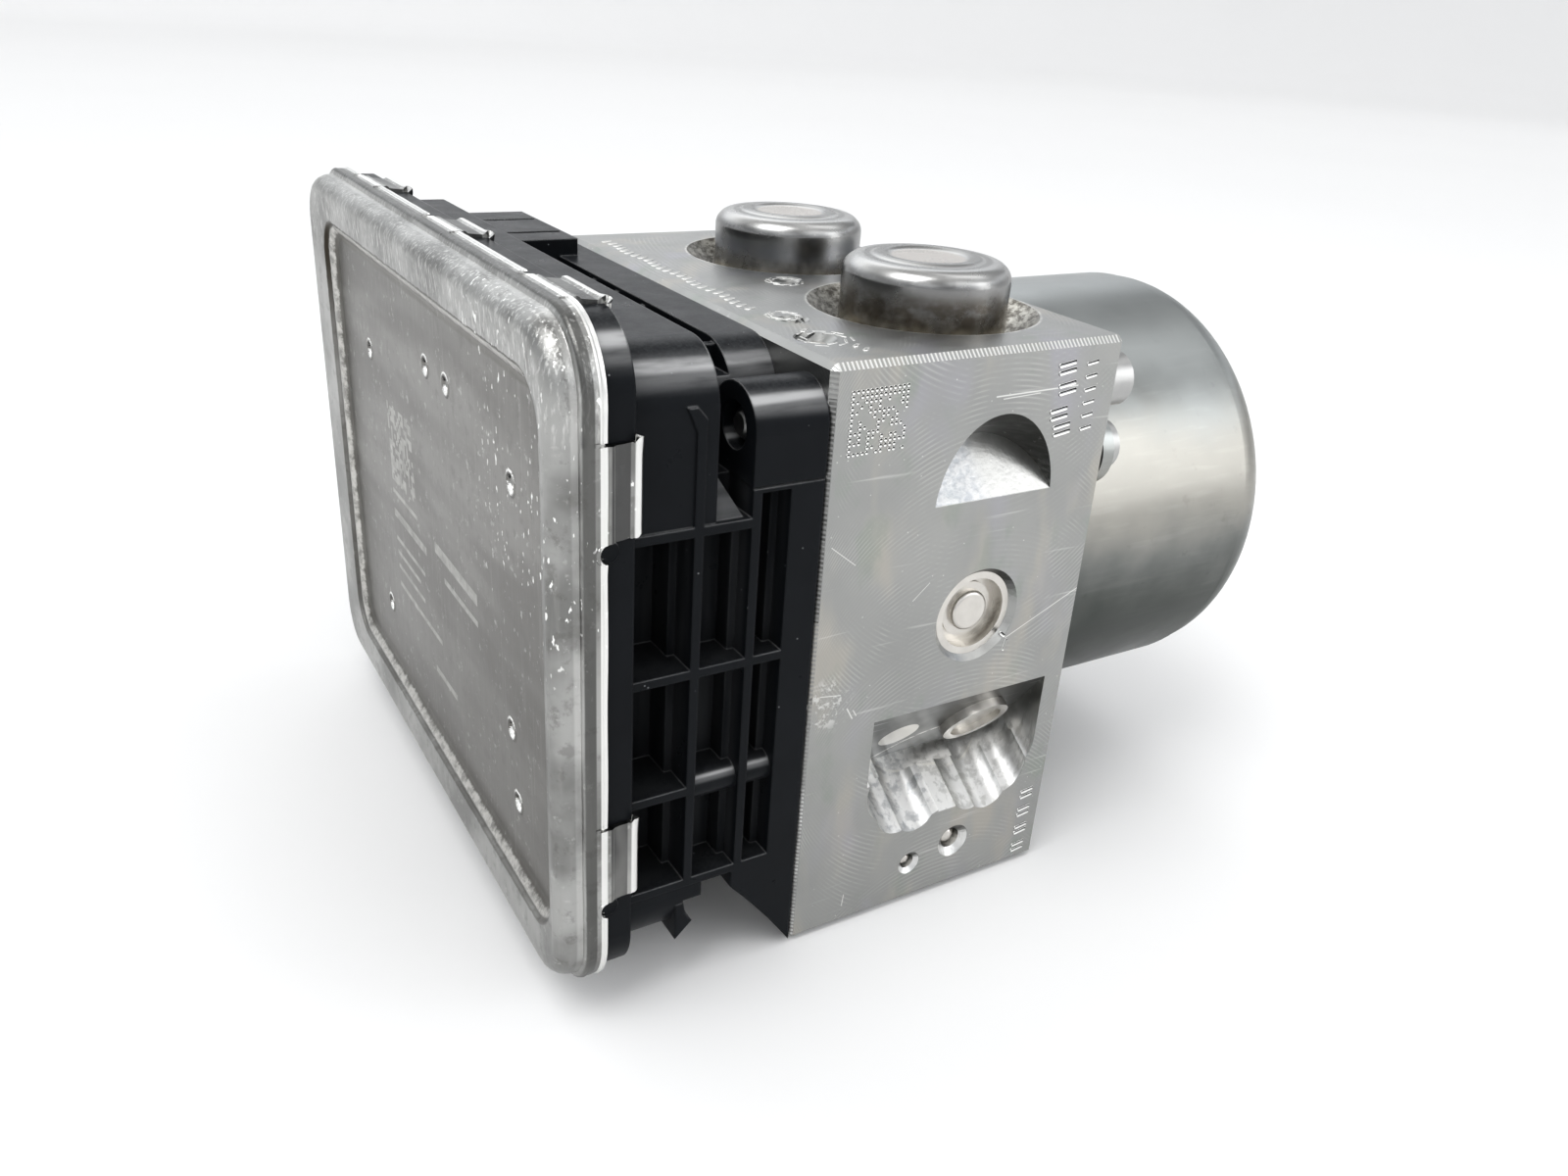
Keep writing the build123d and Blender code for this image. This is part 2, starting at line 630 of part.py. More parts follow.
# Accumulators: cap, piston, seal ring and spring on each side
for name, side in SIDES.items():
    line = upward(ACCUMULATOR_X, side * ACCUMULATOR_Y, 0)
    cap_roof = CAP_TOP - CAP_RING_RISE
    with BuildPart() as accumulator_cap:
        outline = [
            (CAP_SEAT, CAP_R - CAP_WALL),
            (CAP_SEAT, CAP_R),
            (cap_roof, CAP_R),
            (cap_roof, CAP_RING_R),
            (CAP_TOP, CAP_RING_R - CAP_RING_SLOPE),
            (CAP_TOP, CAP_DISC_R + CAP_RING_SLOPE),
            (cap_roof, CAP_DISC_R),
            (cap_roof, 0),
            (cap_roof - CAP_WALL, 0),
            (cap_roof - CAP_WALL, CAP_R - CAP_WALL),
        ]
        turn(line, outline, rounds=[((cap_roof, CAP_R), CAP_SHOULDER)])
    accumulator_cap.part.label = f"accumulator_cap_{name}"
    export_step(accumulator_cap.part, f"parts/accumulator_cap_{name}.step")

    with BuildPart() as accumulator_piston:
        piston_r = PISTON_BORE_R - RUNNING_GAP
        base = ACCUMULATOR_FLOOR + TOUCH_GAP
        groove_r = piston_r - SEAL_DEPTH - SEAT_GAP
        outline = [
            (base, 0),
            (base, piston_r),
            (base + SEAL_LIFT - SEAT_GAP, piston_r),
            (base + SEAL_LIFT - SEAT_GAP, groove_r),
            (base + SEAL_LIFT + SEAL_WIDTH + SEAT_GAP, groove_r),
            (base + SEAL_LIFT + SEAL_WIDTH + SEAT_GAP, piston_r),
            (base + PISTON_HEIGHT, piston_r),
            (base + PISTON_HEIGHT, PISTON_CUP_R),
            (base + PISTON_FLOOR, PISTON_CUP_R),
            (base + PISTON_FLOOR, 0),
        ]
        turn(line, outline)
    accumulator_piston.part.label = f"accumulator_piston_{name}"
    export_step(accumulator_piston.part, f"parts/accumulator_piston_{name}.step")

    with BuildPart() as accumulator_seal:
        outline = [
            (base + SEAL_LIFT, piston_r - SEAL_DEPTH),
            (base + SEAL_LIFT, piston_r),
            (base + SEAL_LIFT + SEAL_WIDTH, piston_r),
            (base + SEAL_LIFT + SEAL_WIDTH, piston_r - SEAL_DEPTH),
        ]
        turn(line, outline)
    accumulator_seal.part.label = f"accumulator_seal_{name}"
    export_step(accumulator_seal.part, f"parts/accumulator_seal_{name}.step")

    with BuildPart() as accumulator_spring:
        spring_start = base + PISTON_FLOOR + TOUCH_GAP
        coil_spring(
            (ACCUMULATOR_X, side * ACCUMULATOR_Y, spring_start),
            (0, 0, 1),
            cap_roof - CAP_WALL - TOUCH_GAP - spring_start,
            PISTON_SPRING_R,
            PISTON_SPRING_WIRE,
            PISTON_SPRING_TURNS,
        )
    accumulator_spring.part.label = f"accumulator_spring_{name}"
    export_step(accumulator_spring.part, f"parts/accumulator_spring_{name}.step")

# Solenoid valves: the seats are pressed into the block, the tubes stand in the coils
plunger_r = VALVE_TUBE_R - VALVE_TUBE_WALL - RUNNING_GAP
seat_x = VALVE_SEAT_LENGTH - 3 * VALVE_FLOW_R


def valve_body(y, z):
    """One valve cartridge: pressed seat, thin tube with a closed end, and flow hole."""
    tube_in = VALVE_TUBE_R - VALVE_TUBE_WALL
    outline = [
        (-VALVE_TUBE_LENGTH, 0),
        (-VALVE_TUBE_LENGTH, VALVE_TUBE_R),
        (0, VALVE_TUBE_R),
        (0, VALVE_SEAT_R),
        (VALVE_SEAT_LENGTH, VALVE_SEAT_R),
        (VALVE_SEAT_LENGTH, VALVE_FLOW_R),
        (seat_x, VALVE_FLOW_R),
        (seat_x, tube_in),
        (-VALVE_TUBE_LENGTH + 2 * VALVE_TUBE_WALL, tube_in),
        (-VALVE_TUBE_LENGTH + 2 * VALVE_TUBE_WALL, 0),
    ]
    turn(along_x(ECU_FACE, y, z), outline)


with BuildPart() as inlet_valve_bodies:
    for valve_y in VALVE_YS:
        valve_body(valve_y, INLET_Z)
inlet_valve_bodies.part.label = "inlet_valve_bodies"
export_step(inlet_valve_bodies.part, "parts/inlet_valve_bodies.step")

with BuildPart() as outlet_valve_bodies:
    for valve_y in VALVE_YS:
        valve_body(valve_y, OUTLET_Z)
outlet_valve_bodies.part.label = "outlet_valve_bodies"
export_step(outlet_valve_bodies.part, "parts/outlet_valve_bodies.step")

# The inlet plungers rest open, a full lift off their seats. The outlet plungers rest closed.
for kind, valve_z, rest_gap in (("inlet", INLET_Z, VALVE_LIFT + TOUCH_GAP), ("outlet", OUTLET_Z, TOUCH_GAP)):
    for number, valve_y in enumerate(VALVE_YS, start=1):
        with BuildPart() as plunger:
            tip = seat_x - rest_gap
            outline = [
                (tip - PLUNGER_LENGTH, 0),
                (tip - PLUNGER_LENGTH, plunger_r),
                (tip - PLUNGER_TIP, plunger_r),
                (tip, PLUNGER_TIP_R),
                (tip, 0),
            ]
            turn(along_x(ECU_FACE, valve_y, valve_z), outline)
        plunger.part.label = f"{kind}_plunger_{number}"
        export_step(plunger.part, f"parts/{kind}_plunger_{number}.step")

# Coils round the valve tubes, each with two pins to the board
board_back = out(FLANGE_FRONT - BOARD_CHAMBER) - BOARD_LIFT
with BuildPart() as valve_coils:
    coil_back = out(COIL_STANDOFF)
    for valve_z in (INLET_Z, OUTLET_Z):
        for valve_y in VALVE_YS:
            with BuildSketch(across(coil_back - COIL_LENGTH)):
                with Locations((valve_y, valve_z)):
                    Rectangle(COIL_WIDTH, COIL_WIDTH)
                    Circle(VALVE_TUBE_R + TOUCH_GAP, mode=Mode.SUBTRACT)
            extrude(amount=COIL_LENGTH)
            with BuildSketch(across(board_back)):
                with Locations(*[(valve_y + side * COIL_PIN_SPREAD, valve_z) for side in SIDES.values()]):
                    Rectangle(COIL_PIN, COIL_PIN)
            extrude(amount=coil_back - COIL_LENGTH - board_back)
valve_coils.part.label = "valve_coils"
export_step(valve_coils.part, "parts/valve_coils.step")

# Control-unit housing
flange_y = (NEAR - FLANGE_OVERHANG, FAR + FAR_OVERHANG)
box_y = (NEAR + BOX_INSET, FAR + BOX_FAR)
connector_y = (FAR + CONNECTOR_Y[0], FAR + CONNECTOR_Y[1])
socket_y = shrink(connector_y, CONNECTOR_WALL)
socket_z = shrink(CONNECTOR_Z, CONNECTOR_WALL)
socket_floor_x = out(-CONNECTOR_REACH) - SOCKET_DEPTH
board_y = shrink(flange_y, BOARD_INSET)
board_z = shrink(FLANGE_Z, BOARD_INSET)
pin_spots = [
    ((socket_y[0] + socket_y[1]) / 2 + (row - (PIN_ROWS - 1) / 2) * PIN_ROW_PITCH,
     (socket_z[0] + socket_z[1]) / 2 + (column - (PIN_COLUMNS - 1) / 2) * PIN_PITCH)
    for row in range(PIN_ROWS)
    for column in range(PIN_COLUMNS)
]
# Sloped gusset between the fin and the screw boss
with BuildPart() as gusset:
    with BuildSketch(Plane.XZ.offset(-NEAR)):
        with BuildLine():
            Polyline(*[(out(distance), height) for distance, height in GUSSET], close=True)
        make_face()
    extrude(amount=-CHAMBER_NEAR)
    with BuildSketch(across(out(GUSSET[0][0]))):
        with BuildLine():
            Polyline(*[(NEAR + depth, height) for depth, height in GUSSET_SLOPE], close=True)
        make_face()
    extrude(amount=GUSSET[0][0] - GUSSET[2][0], mode=Mode.INTERSECT)

with BuildPart() as ecu_housing:
    # Flange under the lid, and the box behind it
    plate((out(FLANGE_FRONT), out(FLANGE_BACK)), flange_y, FLANGE_Z, FLANGE_CORNER)
    plate((out(FLANGE_BACK), out(BOX_BACK)), box_y, BOX_Z, BOX_CORNER)
    low_back = (out(BOX_LOW_BACK), out(BOX_BACK))
    slab(low_back, (NEAR, socket_y[0] - CONNECTOR_WALL), (0, BOX_LOW_Z), mode=Mode.SUBTRACT)
    # Frame that reaches the block, narrower at its upper near corner
    plate((out(BOX_BACK), ECU_FACE), (NEAR + FRAME_NEAR_TOP, box_y[1]), FRAME_Z, FRAME_CORNER)
    slab((out(FLANGE_BACK), ECU_FACE), (NEAR, NEAR + CHAMBER_NEAR + RIB), (RIB_ZS[0] - RIB / 2, RIB_ZS[-1] + RIB / 2))
    slab((out(RIB_XS[1] + RIB / 2), ECU_FACE), (NEAR, NEAR + CHAMBER_NEAR + RIB), (RIB_ZS[-1], PARTING_Z))
    slab((out(BOX_BACK), ECU_FACE), (NEAR + FRAME_NEAR, NEAR + FRAME_NEAR_TOP + FRAME_CORNER), (FRAME_Z[0], PARTING_Z))
    # Curved foot of the frame at the lower near corner
    with BuildSketch(Plane.XZ.offset(-NEAR)) as foot:
        with BuildLine():
            corner = [(out(distance), height) for distance, height in CORNER_CURVE]
            ThreePointArc(*corner)
            Polyline(corner[2], (ECU_FACE, RIB_ZS[0]), (corner[0][0], RIB_ZS[0]), corner[0])
        make_face()
    extrude(amount=-FRAME_NEAR - RIB)
    # Groove along the top, crossed by short webs
    groove_x = (out(BOX_BACK), out(FRAME_FRONT))
    slab(groove_x, (NEAR, NEAR + PAD_Y[0]), (GROOVE_FLOOR, BOX_Z[1]), mode=Mode.SUBTRACT)
    for web_y in GROOVE_WEB_YS:
        slab(groove_x, (NEAR + web_y - WEB / 2, NEAR + web_y + WEB / 2), (GROOVE_FLOOR, GROOVE_WEB_TOP))
    # Raised pad with two slots
    slab((out(PAD_X[0]), out(PAD_X[1])), (NEAR + PAD_Y[0], NEAR + PAD_Y[1]), (GROOVE_FLOOR, PAD_TOP))
    with BuildSketch(Plane.XY.offset(PAD_TOP)):
        with Locations(*[(out((PAD_X[0] + PAD_X[1]) / 2), NEAR + slot_y) for slot_y in PAD_SLOT_YS]):
            SlotOverall(*PAD_SLOT)
    extrude(amount=-PAD_SLOT_DEPTH, mode=Mode.SUBTRACT)
    # Pockets between the ribs of the near wall: one deep column and two shallow ones
    back_rows = (RIB_ZS[0], RIB_ZS[2], RIB_ZS[3])
    columns = [
        (FLANGE_BACK, RIB_XS[0] + RIB / 2, CHAMBER_NEAR - DEEP_POCKET_WALL, RIB_ZS),
        (RIB_XS[0] - RIB / 2, RIB_XS[1] + RIB / 2, FRAME_NEAR, back_rows),
        (RIB_XS[1] - RIB / 2, RIB_STRIP, FRAME_NEAR, (*back_rows[:2], LAST_POCKET_TOP + RIB / 2)),
    ]
    for front, back, depth, rows in columns:
        for low, high in zip(rows[:-1], rows[1:]):
            pocket_z = (low + RIB / 2, high - RIB / 2)
            # A narrow ledge stands halfway down on the side nearer the block
            slab((out(front), out(back)), (NEAR - TOUCH_GAP, NEAR + depth / 2), pocket_z, mode=Mode.SUBTRACT)
            slab((out(front), out(back + POCKET_LEDGE)), (NEAR, NEAR + depth), pocket_z, mode=Mode.SUBTRACT)
    # Half-round bars take the place of the second rib in the two back columns
    for front, back, depth, rows in columns[1:]:
        with BuildSketch(across(out(front))):
            with Locations((NEAR + HALF_ROUND_FRONT + HALF_ROUND_R, HALF_ROUND_Z)):
                Circle(HALF_ROUND_R)
                Rectangle(depth, 2 * HALF_ROUND_R, align=(Align.MIN, Align.CENTER))
        extrude(amount=front - back)
    # Fin that carries the first upright rib on past the box's corner, bent over at its tip
    with BuildSketch(Plane.XZ.offset(-NEAR)):
        with BuildLine():
            fin = (out(RIB_XS[0] + RIB / 2), out(RIB_XS[0] - RIB / 2))
            Polyline(
                (fin[0], RIB_ZS[-1]),
                (fin[1], RIB_ZS[-1]),
                (fin[1], FIN_TOP - FIN_BEND[1]),
                (fin[1] - FIN_BEND[0], FIN_TOP),
                (fin[0] - FIN_BEND[0], FIN_TOP),
                (fin[0], FIN_TOP - 2 * FIN_BEND[1]),
                close=True,
            )
        make_face()
    extrude(amount=-BOX_CORNER)
    # Hook under the near wall
    with BuildSketch(Plane.XZ.offset(-NEAR - BOX_INSET)):
        with BuildLine():
            Polyline(*[(out(distance), height) for distance, height in HOOK], close=True)
        make_face()
    extrude(amount=-HOOK_WIDTH)
    add(gusset.part)
    # Screw bosses
    for y, z in housing_screw_spots:
        with BuildSketch(across(out(SCREW_BOSS_FRONT))):
            with Locations((y, z)):
                Circle(SCREW_BOSS_R)
        extrude(amount=SCREW_BOSS_FRONT)
    slab(
        (out(SCREW_BOSS_FRONT), ECU_FACE),
        (-UPPER_SCREW[0] - SCREW_BOSS_R, NEAR + FRAME_NEAR_TOP + FRAME_CORNER),
        (PARTING_Z, UPPER_SCREW[1]),
    )
    parting_x = (out(SCREW_BOSS_FRONT), ECU_FACE)
    slab(parting_x, (NEAR - TOUCH_GAP, NEAR + PARTING), (PARTING_Z - PARTING, PARTING_Z), mode=Mode.SUBTRACT)
    for y in (-LOWER_SCREW[0], LOWER_SCREW[0]):
        slab(
            (out(SCREW_BOSS_FRONT), ECU_FACE),
            (y - SCREW_BOSS_R, y + SCREW_BOSS_R),
            (LOWER_SCREW[1], CHAMBER_Z[0]),
        )
    # Connector shell
    plate((out(BOX_BACK), out(-CONNECTOR_REACH)), connector_y, CONNECTOR_Z, CONNECTOR_CORNER)
    plate((socket_floor_x, out(-CONNECTOR_REACH)), socket_y, socket_z, CONNECTOR_CORNER / 2, mode=Mode.SUBTRACT)
    # Board chamber in front, with the window behind the connector
    chamber_floor = out(FLANGE_FRONT - BOARD_CHAMBER)
    chamber_rim = BOARD_INSET - TOUCH_GAP
    plate(
        (out(FLANGE_FRONT), chamber_floor),
        shrink(flange_y, chamber_rim),
        shrink(FLANGE_Z, chamber_rim),
        FLANGE_CORNER - chamber_rim,
        mode=Mode.SUBTRACT,
    )
    slab((chamber_floor, socket_floor_x - SOCKET_FLOOR), socket_y, socket_z, mode=Mode.SUBTRACT)
    for y, z in pin_spots:
        slab(
            (socket_floor_x - SOCKET_FLOOR, socket_floor_x),
            (y - PIN_SIZE / 2, y + PIN_SIZE / 2),
            (z - PIN_SIZE / 2, z + PIN_SIZE / 2),
            mode=Mode.SUBTRACT,
        )
    # Coil chamber behind, open to the block, with slots for the coil pins and the contact pins
    chamber((chamber_floor + MID_PLATE, ECU_FACE), mode=Mode.SUBTRACT)
    pin_slot = COIL_PIN * 2
    for slot_z in (INLET_Z, OUTLET_Z, PIN_BORE_Z):
        slab(
            (chamber_floor, chamber_floor + MID_PLATE),
            (VALVE_YS[0] - COIL_WIDTH / 2, VALVE_YS[-1] + COIL_WIDTH / 2),
            (slot_z - pin_slot, slot_z + pin_slot),
            mode=Mode.SUBTRACT,
        )
    # Posts that carry the board
    for y in board_y:
        for z in board_z:
            inward_y = y + BOARD_POST * (1 if y < 0 else -1)
            inward_z = z + BOARD_POST * (1 if z < SHAFT_Z else -1)
            slab((board_back, chamber_floor), sorted((y, inward_y)), sorted((z, inward_z)))
    # Screw holes, opened out at the boss fronts
    for y, z in housing_screw_spots:
        screw_line = along_x(ECU_FACE, y, z)
        outline = [
            (0, 0),
            (0, HOUSING_SCREW_R + SEAT_GAP),
            (SCREW_BOSS_RECESS - SCREW_BOSS_FRONT, HOUSING_SCREW_R + SEAT_GAP),
            (SCREW_BOSS_RECESS - SCREW_BOSS_FRONT, SCREW_BOSS_RECESS_R),
            (-SCREW_BOSS_FRONT, SCREW_BOSS_RECESS_R),
            (-SCREW_BOSS_FRONT, 0),
        ]
        turn(screw_line, outline, mode=Mode.SUBTRACT)
    # Seat of the seal against the block
    chamber((out(BLOCK_SEAL - TOUCH_GAP), ECU_FACE), RIB, Mode.SUBTRACT)
ecu_housing.part.label = "ecu_housing"
export_step(ecu_housing.part, "parts/ecu_housing.step")

with BuildPart() as block_seal:
    chamber((out(BLOCK_SEAL - TOUCH_GAP), ECU_FACE), RIB)
    chamber((out(BLOCK_SEAL), ECU_FACE), mode=Mode.SUBTRACT)
block_seal.part.label = "block_seal"
export_step(block_seal.part, "parts/block_seal.step")

with BuildPart() as housing_screws:
    for y, z in housing_screw_spots:
        outline = [
            (-HOUSING_SCREW_TIP, 0),
            (-HOUSING_SCREW_TIP, HOUSING_SCREW_R - SCREW_CHAMFER),
            (SCREW_CHAMFER - HOUSING_SCREW_TIP, HOUSING_SCREW_R),
            (BLOCK_X, HOUSING_SCREW_R),
            (BLOCK_X, HOUSING_SCREW_HEAD_R),
            (BLOCK_X + HOUSING_SCREW_HEAD - SCREW_CHAMFER, HOUSING_SCREW_HEAD_R),
            (BLOCK_X + HOUSING_SCREW_HEAD, HOUSING_SCREW_HEAD_R - SCREW_CHAMFER),
            (BLOCK_X + HOUSING_SCREW_HEAD, 0),
        ]
        turn(along_x(ECU_FACE, y, z), outline)
housing_screws.part.label = "housing_screws"
export_step(housing_screws.part, "parts/housing_screws.step")

with BuildPart() as connector_pins:
    for y, z in pin_spots:
        slab(
            (board_back, socket_floor_x + SOCKET_DEPTH - PIN_TIP),
            (y - PIN_SIZE / 2, y + PIN_SIZE / 2),
            (z - PIN_SIZE / 2, z + PIN_SIZE / 2),
        )
connector_pins.part.label = "connector_pins"
export_step(connector_pins.part, "parts/connector_pins.step")

with BuildPart() as circuit_board:
    board_front = board_back - BOARD
    plate((board_front, board_back), board_y, board_z, FLANGE_CORNER - BOARD_INSET)
    for chip_y, chip_z, width, height in CHIPS:
        slab(
            (board_front - CHIP_HEIGHT, board_front),
            (chip_y - width / 2, chip_y + width / 2),
            (chip_z - height / 2, chip_z + height / 2),
        )
circuit_board.part.label = "circuit_board"
export_step(circuit_board.part, "parts/circuit_board.step")

# Lid
lid_y = shrink(flange_y, -LID_SHEET - SEAT_GAP)
lid_z = shrink(FLANGE_Z, -LID_SHEET - SEAT_GAP)
panel_y = (lid_y[0] + PANEL_NEAR, lid_y[1] - PANEL_FAR)
panel_z = (lid_z[0] + PANEL_LOW, lid_z[1] - PANEL_HIGH)
panel_back = LID_FRONT - PANEL_DEPTH - LID_SHEET
with BuildPart() as ecu_lid:
    plate((out(LID_FRONT), out(FLANGE_FRONT)), shrink(lid_y, LID_STEP), shrink(lid_z, LID_STEP), LID_CORNER - LID_STEP)
    fillet(ecu_lid.faces().sort_by(Axis.X)[0].edges(), LID_EDGE)
    plate((out(FLANGE_FRONT), out(LID_SKIRT_BACK)), lid_y, lid_z, LID_CORNER)
    # Sunk panel with a sloped border
    plate((out(LID_FRONT), out(LID_FRONT - PANEL_DEPTH)), panel_y, panel_z, PANEL_CORNER, Mode.SUBTRACT, PANEL_SLOPE)
    # Inside: room for the flange, and the hollow under the raised rim
    inner_corner = LID_CORNER - LID_SHEET
    plate(
        (out(panel_back), out(LID_SKIRT_BACK)),
        shrink(lid_y, LID_SHEET),
        shrink(lid_z, LID_SHEET),
        inner_corner,
        mode=Mode.SUBTRACT,
    )
    rim_in = LID_STEP + LID_SHEET
    with BuildSketch(across(out(LID_FRONT - LID_SHEET))):
        for limits_y, limits_z, corner, mode in (
            (shrink(lid_y, rim_in), shrink(lid_z, rim_in), LID_CORNER - rim_in, Mode.ADD),
            (shrink(panel_y, -LID_SHEET), shrink(panel_z, -LID_SHEET), PANEL_CORNER, Mode.SUBTRACT),
        ):
            with Locations((sum(limits_y) / 2, sum(limits_z) / 2)):
                RectangleRounded(limits_y[1] - limits_y[0], limits_z[1] - limits_z[0], corner, mode=mode)
    extrude(amount=LID_FRONT - LID_SHEET - panel_back, mode=Mode.SUBTRACT)
    # Crimped tabs: straight strip, then a lip behind the flange
    strip = (out(LID_SKIRT_BACK), out(TAB_BACK))
    lip = (out(FLANGE_BACK), out(TAB_BACK))
    for tab_z in NEAR_TAB_ZS:
        tab = (tab_z - TAB_WIDTH / 2, tab_z + TAB_WIDTH / 2)
        slab(strip, (lid_y[0], lid_y[0] + LID_SHEET), tab)
        slab(lip, (lid_y[0], lid_y[0] + LID_SHEET + TAB_LIP), tab)
        slab(strip, (lid_y[1] - LID_SHEET, lid_y[1]), tab)
        slab(lip, (lid_y[1] - LID_SHEET - TAB_LIP / 2, lid_y[1]), tab)
    for tab_y in TOP_TAB_YS:
        tab = (tab_y - TAB_WIDTH / 2, tab_y + TAB_WIDTH / 2)
        slab(strip, tab, (lid_z[1] - LID_SHEET, lid_z[1]))
        slab(lip, tab, (lid_z[1] - LID_SHEET - TAB_LIP, lid_z[1]))
        slab(strip, tab, (lid_z[0], lid_z[0] + LID_SHEET))
        slab(lip, tab, (lid_z[0], lid_z[0] + LID_SHEET + TAB_LIP))
    # Relief notch beside each near and top tab
    with BuildSketch(Plane.XZ.offset(-lid_y[0])):
        with Locations(*[(out(LID_SKIRT_BACK), tab_z - TAB_WIDTH / 2 - NOTCH_R) for tab_z in NEAR_TAB_ZS]):
            Circle(NOTCH_R)
    extrude(amount=-LID_SHEET, mode=Mode.SUBTRACT)
    with BuildSketch(Plane.XY.offset(lid_z[1])):
        with Locations(*[(out(LID_SKIRT_BACK), tab_y + TAB_WIDTH / 2 + NOTCH_R) for tab_y in TOP_TAB_YS]):
            Circle(NOTCH_R)
    extrude(amount=-LID_SHEET, mode=Mode.SUBTRACT)
ecu_lid.part.label = "ecu_lid"
export_step(ecu_lid.part, "parts/ecu_lid.step")

with BuildPart() as lid_seal:
    seal_x = (out(LID_FRONT - LID_SHEET), out(FLANGE_FRONT))
    plate(seal_x, shrink(lid_y, rim_in), shrink(lid_z, rim_in), LID_CORNER - rim_in)
    seal_back = rim_in + LID_SEAL_WIDTH
    plate(seal_x, shrink(lid_y, seal_back), shrink(lid_z, seal_back), LID_CORNER - seal_back, mode=Mode.SUBTRACT)
lid_seal.part.label = "lid_seal"
export_step(lid_seal.part, "parts/lid_seal.step")

# Motor can, with three ears under its screws
motor_line = along_x(MOTOR_FACE, 0, SHAFT_Z)
inner_r = MOTOR_R - MOTOR_WALL
with BuildPart() as motor_can:
    groove_x = MOTOR_LENGTH - MOTOR_GROOVE_FROM_END
    outline = [
        (0, 0),
        (0, MOTOR_R),
        (groove_x, MOTOR_R),
        (groove_x, MOTOR_R - MOTOR_GROOVE),
        (MOTOR_LENGTH, MOTOR_R - MOTOR_GROOVE),
        (MOTOR_LENGTH, MOTOR_BOSS_R),
        (MOTOR_LENGTH + MOTOR_BOSS_LENGTH, MOTOR_BOSS_R),
        (MOTOR_LENGTH + MOTOR_BOSS_LENGTH, 0),
    ]
    rounds = [((MOTOR_LENGTH, MOTOR_R - MOTOR_GROOVE), MOTOR_ROUND)]
    turn(motor_line, outline, rounds=rounds)
    with BuildSketch(across(MOTOR_FACE)):
        for (y, z), angle in zip(motor_screw_spots, MOTOR_SCREW_ANGLES):
            with Locations((y, z)):
                Circle(EAR_R)
            with Locations(Location((y, z), angle)):
                Rectangle(2 * EAR_R, 2 * EAR_R, align=(Align.MAX, Align.CENTER))
    extrude(amount=MOTOR_FLANGE)
    cavity = [
        (0, 0),
        (0, inner_r),
        (MOTOR_LENGTH - MOTOR_WALL, inner_r),
        (MOTOR_LENGTH - MOTOR_WALL, BEARING_R),
        (MOTOR_LENGTH + MOTOR_BOSS_LENGTH - MOTOR_WALL, BEARING_R),
        (MOTOR_LENGTH + MOTOR_BOSS_LENGTH - MOTOR_WALL, 0),
    ]
    rounds = [((MOTOR_LENGTH - MOTOR_WALL, inner_r), MOTOR_ROUND - MOTOR_WALL)]
    turn(motor_line, cavity, rounds=rounds, mode=Mode.SUBTRACT)
    with BuildSketch(across(MOTOR_FACE)):
        with Locations(*motor_screw_spots):
            Circle(MOTOR_SCREW_R + TOUCH_GAP)
    extrude(amount=MOTOR_FLANGE, mode=Mode.SUBTRACT)
motor_can.part.label = "motor_can"
export_step(motor_can.part, "parts/motor_can.step")

with BuildPart() as motor_screws:
    for y, z in motor_screw_spots:
        outline = [
            (-MOTOR_SCREW_LENGTH, 0),
            (-MOTOR_SCREW_LENGTH, MOTOR_SCREW_R),
            (MOTOR_FLANGE, MOTOR_SCREW_R),
            (MOTOR_FLANGE, MOTOR_SCREW_HEAD_R),
            (MOTOR_FLANGE + MOTOR_SCREW_HEAD - SCREW_CHAMFER, MOTOR_SCREW_HEAD_R),
            (MOTOR_FLANGE + MOTOR_SCREW_HEAD, MOTOR_SCREW_HEAD_R - SCREW_CHAMFER),
            (MOTOR_FLANGE + MOTOR_SCREW_HEAD, 0),
        ]
        turn(along_x(MOTOR_FACE, y, z), outline)
motor_screws.part.label = "motor_screws"
export_step(motor_screws.part, "parts/motor_screws.step")

# Front plate: closes the can, and its hub centres the front bearing in the block
with BuildPart() as motor_front_plate:
    bearing_seat = HUB_FLOOR - HUB_LENGTH
    outline = [
        (-HUB_LENGTH, SHAFT_HOLE_R),
        (-HUB_LENGTH, HUB_R),
        (0, HUB_R),
        (0, inner_r - SEAT_GAP),
        (FRONT_PLATE, inner_r - SEAT_GAP),
        (FRONT_PLATE, BEARING_R),
        (bearing_seat, BEARING_R),
        (bearing_seat, SHAFT_HOLE_R),
    ]
    turn(motor_line, outline)
    drill([Plane(origin=(MOTOR_FACE + FRONT_PLATE, 0, PIN_BORE_Z), z_dir=(1, 0, 0))], PIN_BORE_R, FRONT_PLATE)
motor_front_plate.part.label = "motor_front_plate"
export_step(motor_front_plate.part, "parts/motor_front_plate.step")


def bearing(start, width):
    """A bearing drawn as one ring round the shaft."""
    outline = [
        (start, SHAFT_R + RUNNING_GAP),
        (start, BEARING_R - SEAT_GAP),
        (start + width, BEARING_R - SEAT_GAP),
        (start + width, SHAFT_R + RUNNING_GAP),
    ]
    turn(motor_line, outline)


rear_end = MOTOR_LENGTH + MOTOR_BOSS_LENGTH - MOTOR_WALL
with BuildPart() as front_bearing:
    bearing(bearing_seat, BEARING_WIDTH)
front_bearing.part.label = "front_bearing"
export_step(front_bearing.part, "parts/front_bearing.step")

with BuildPart() as rear_bearing:
    bearing(rear_end - REAR_BEARING_WIDTH, REAR_BEARING_WIDTH)
rear_bearing.part.label = "rear_bearing"
export_step(rear_bearing.part, "parts/rear_bearing.step")

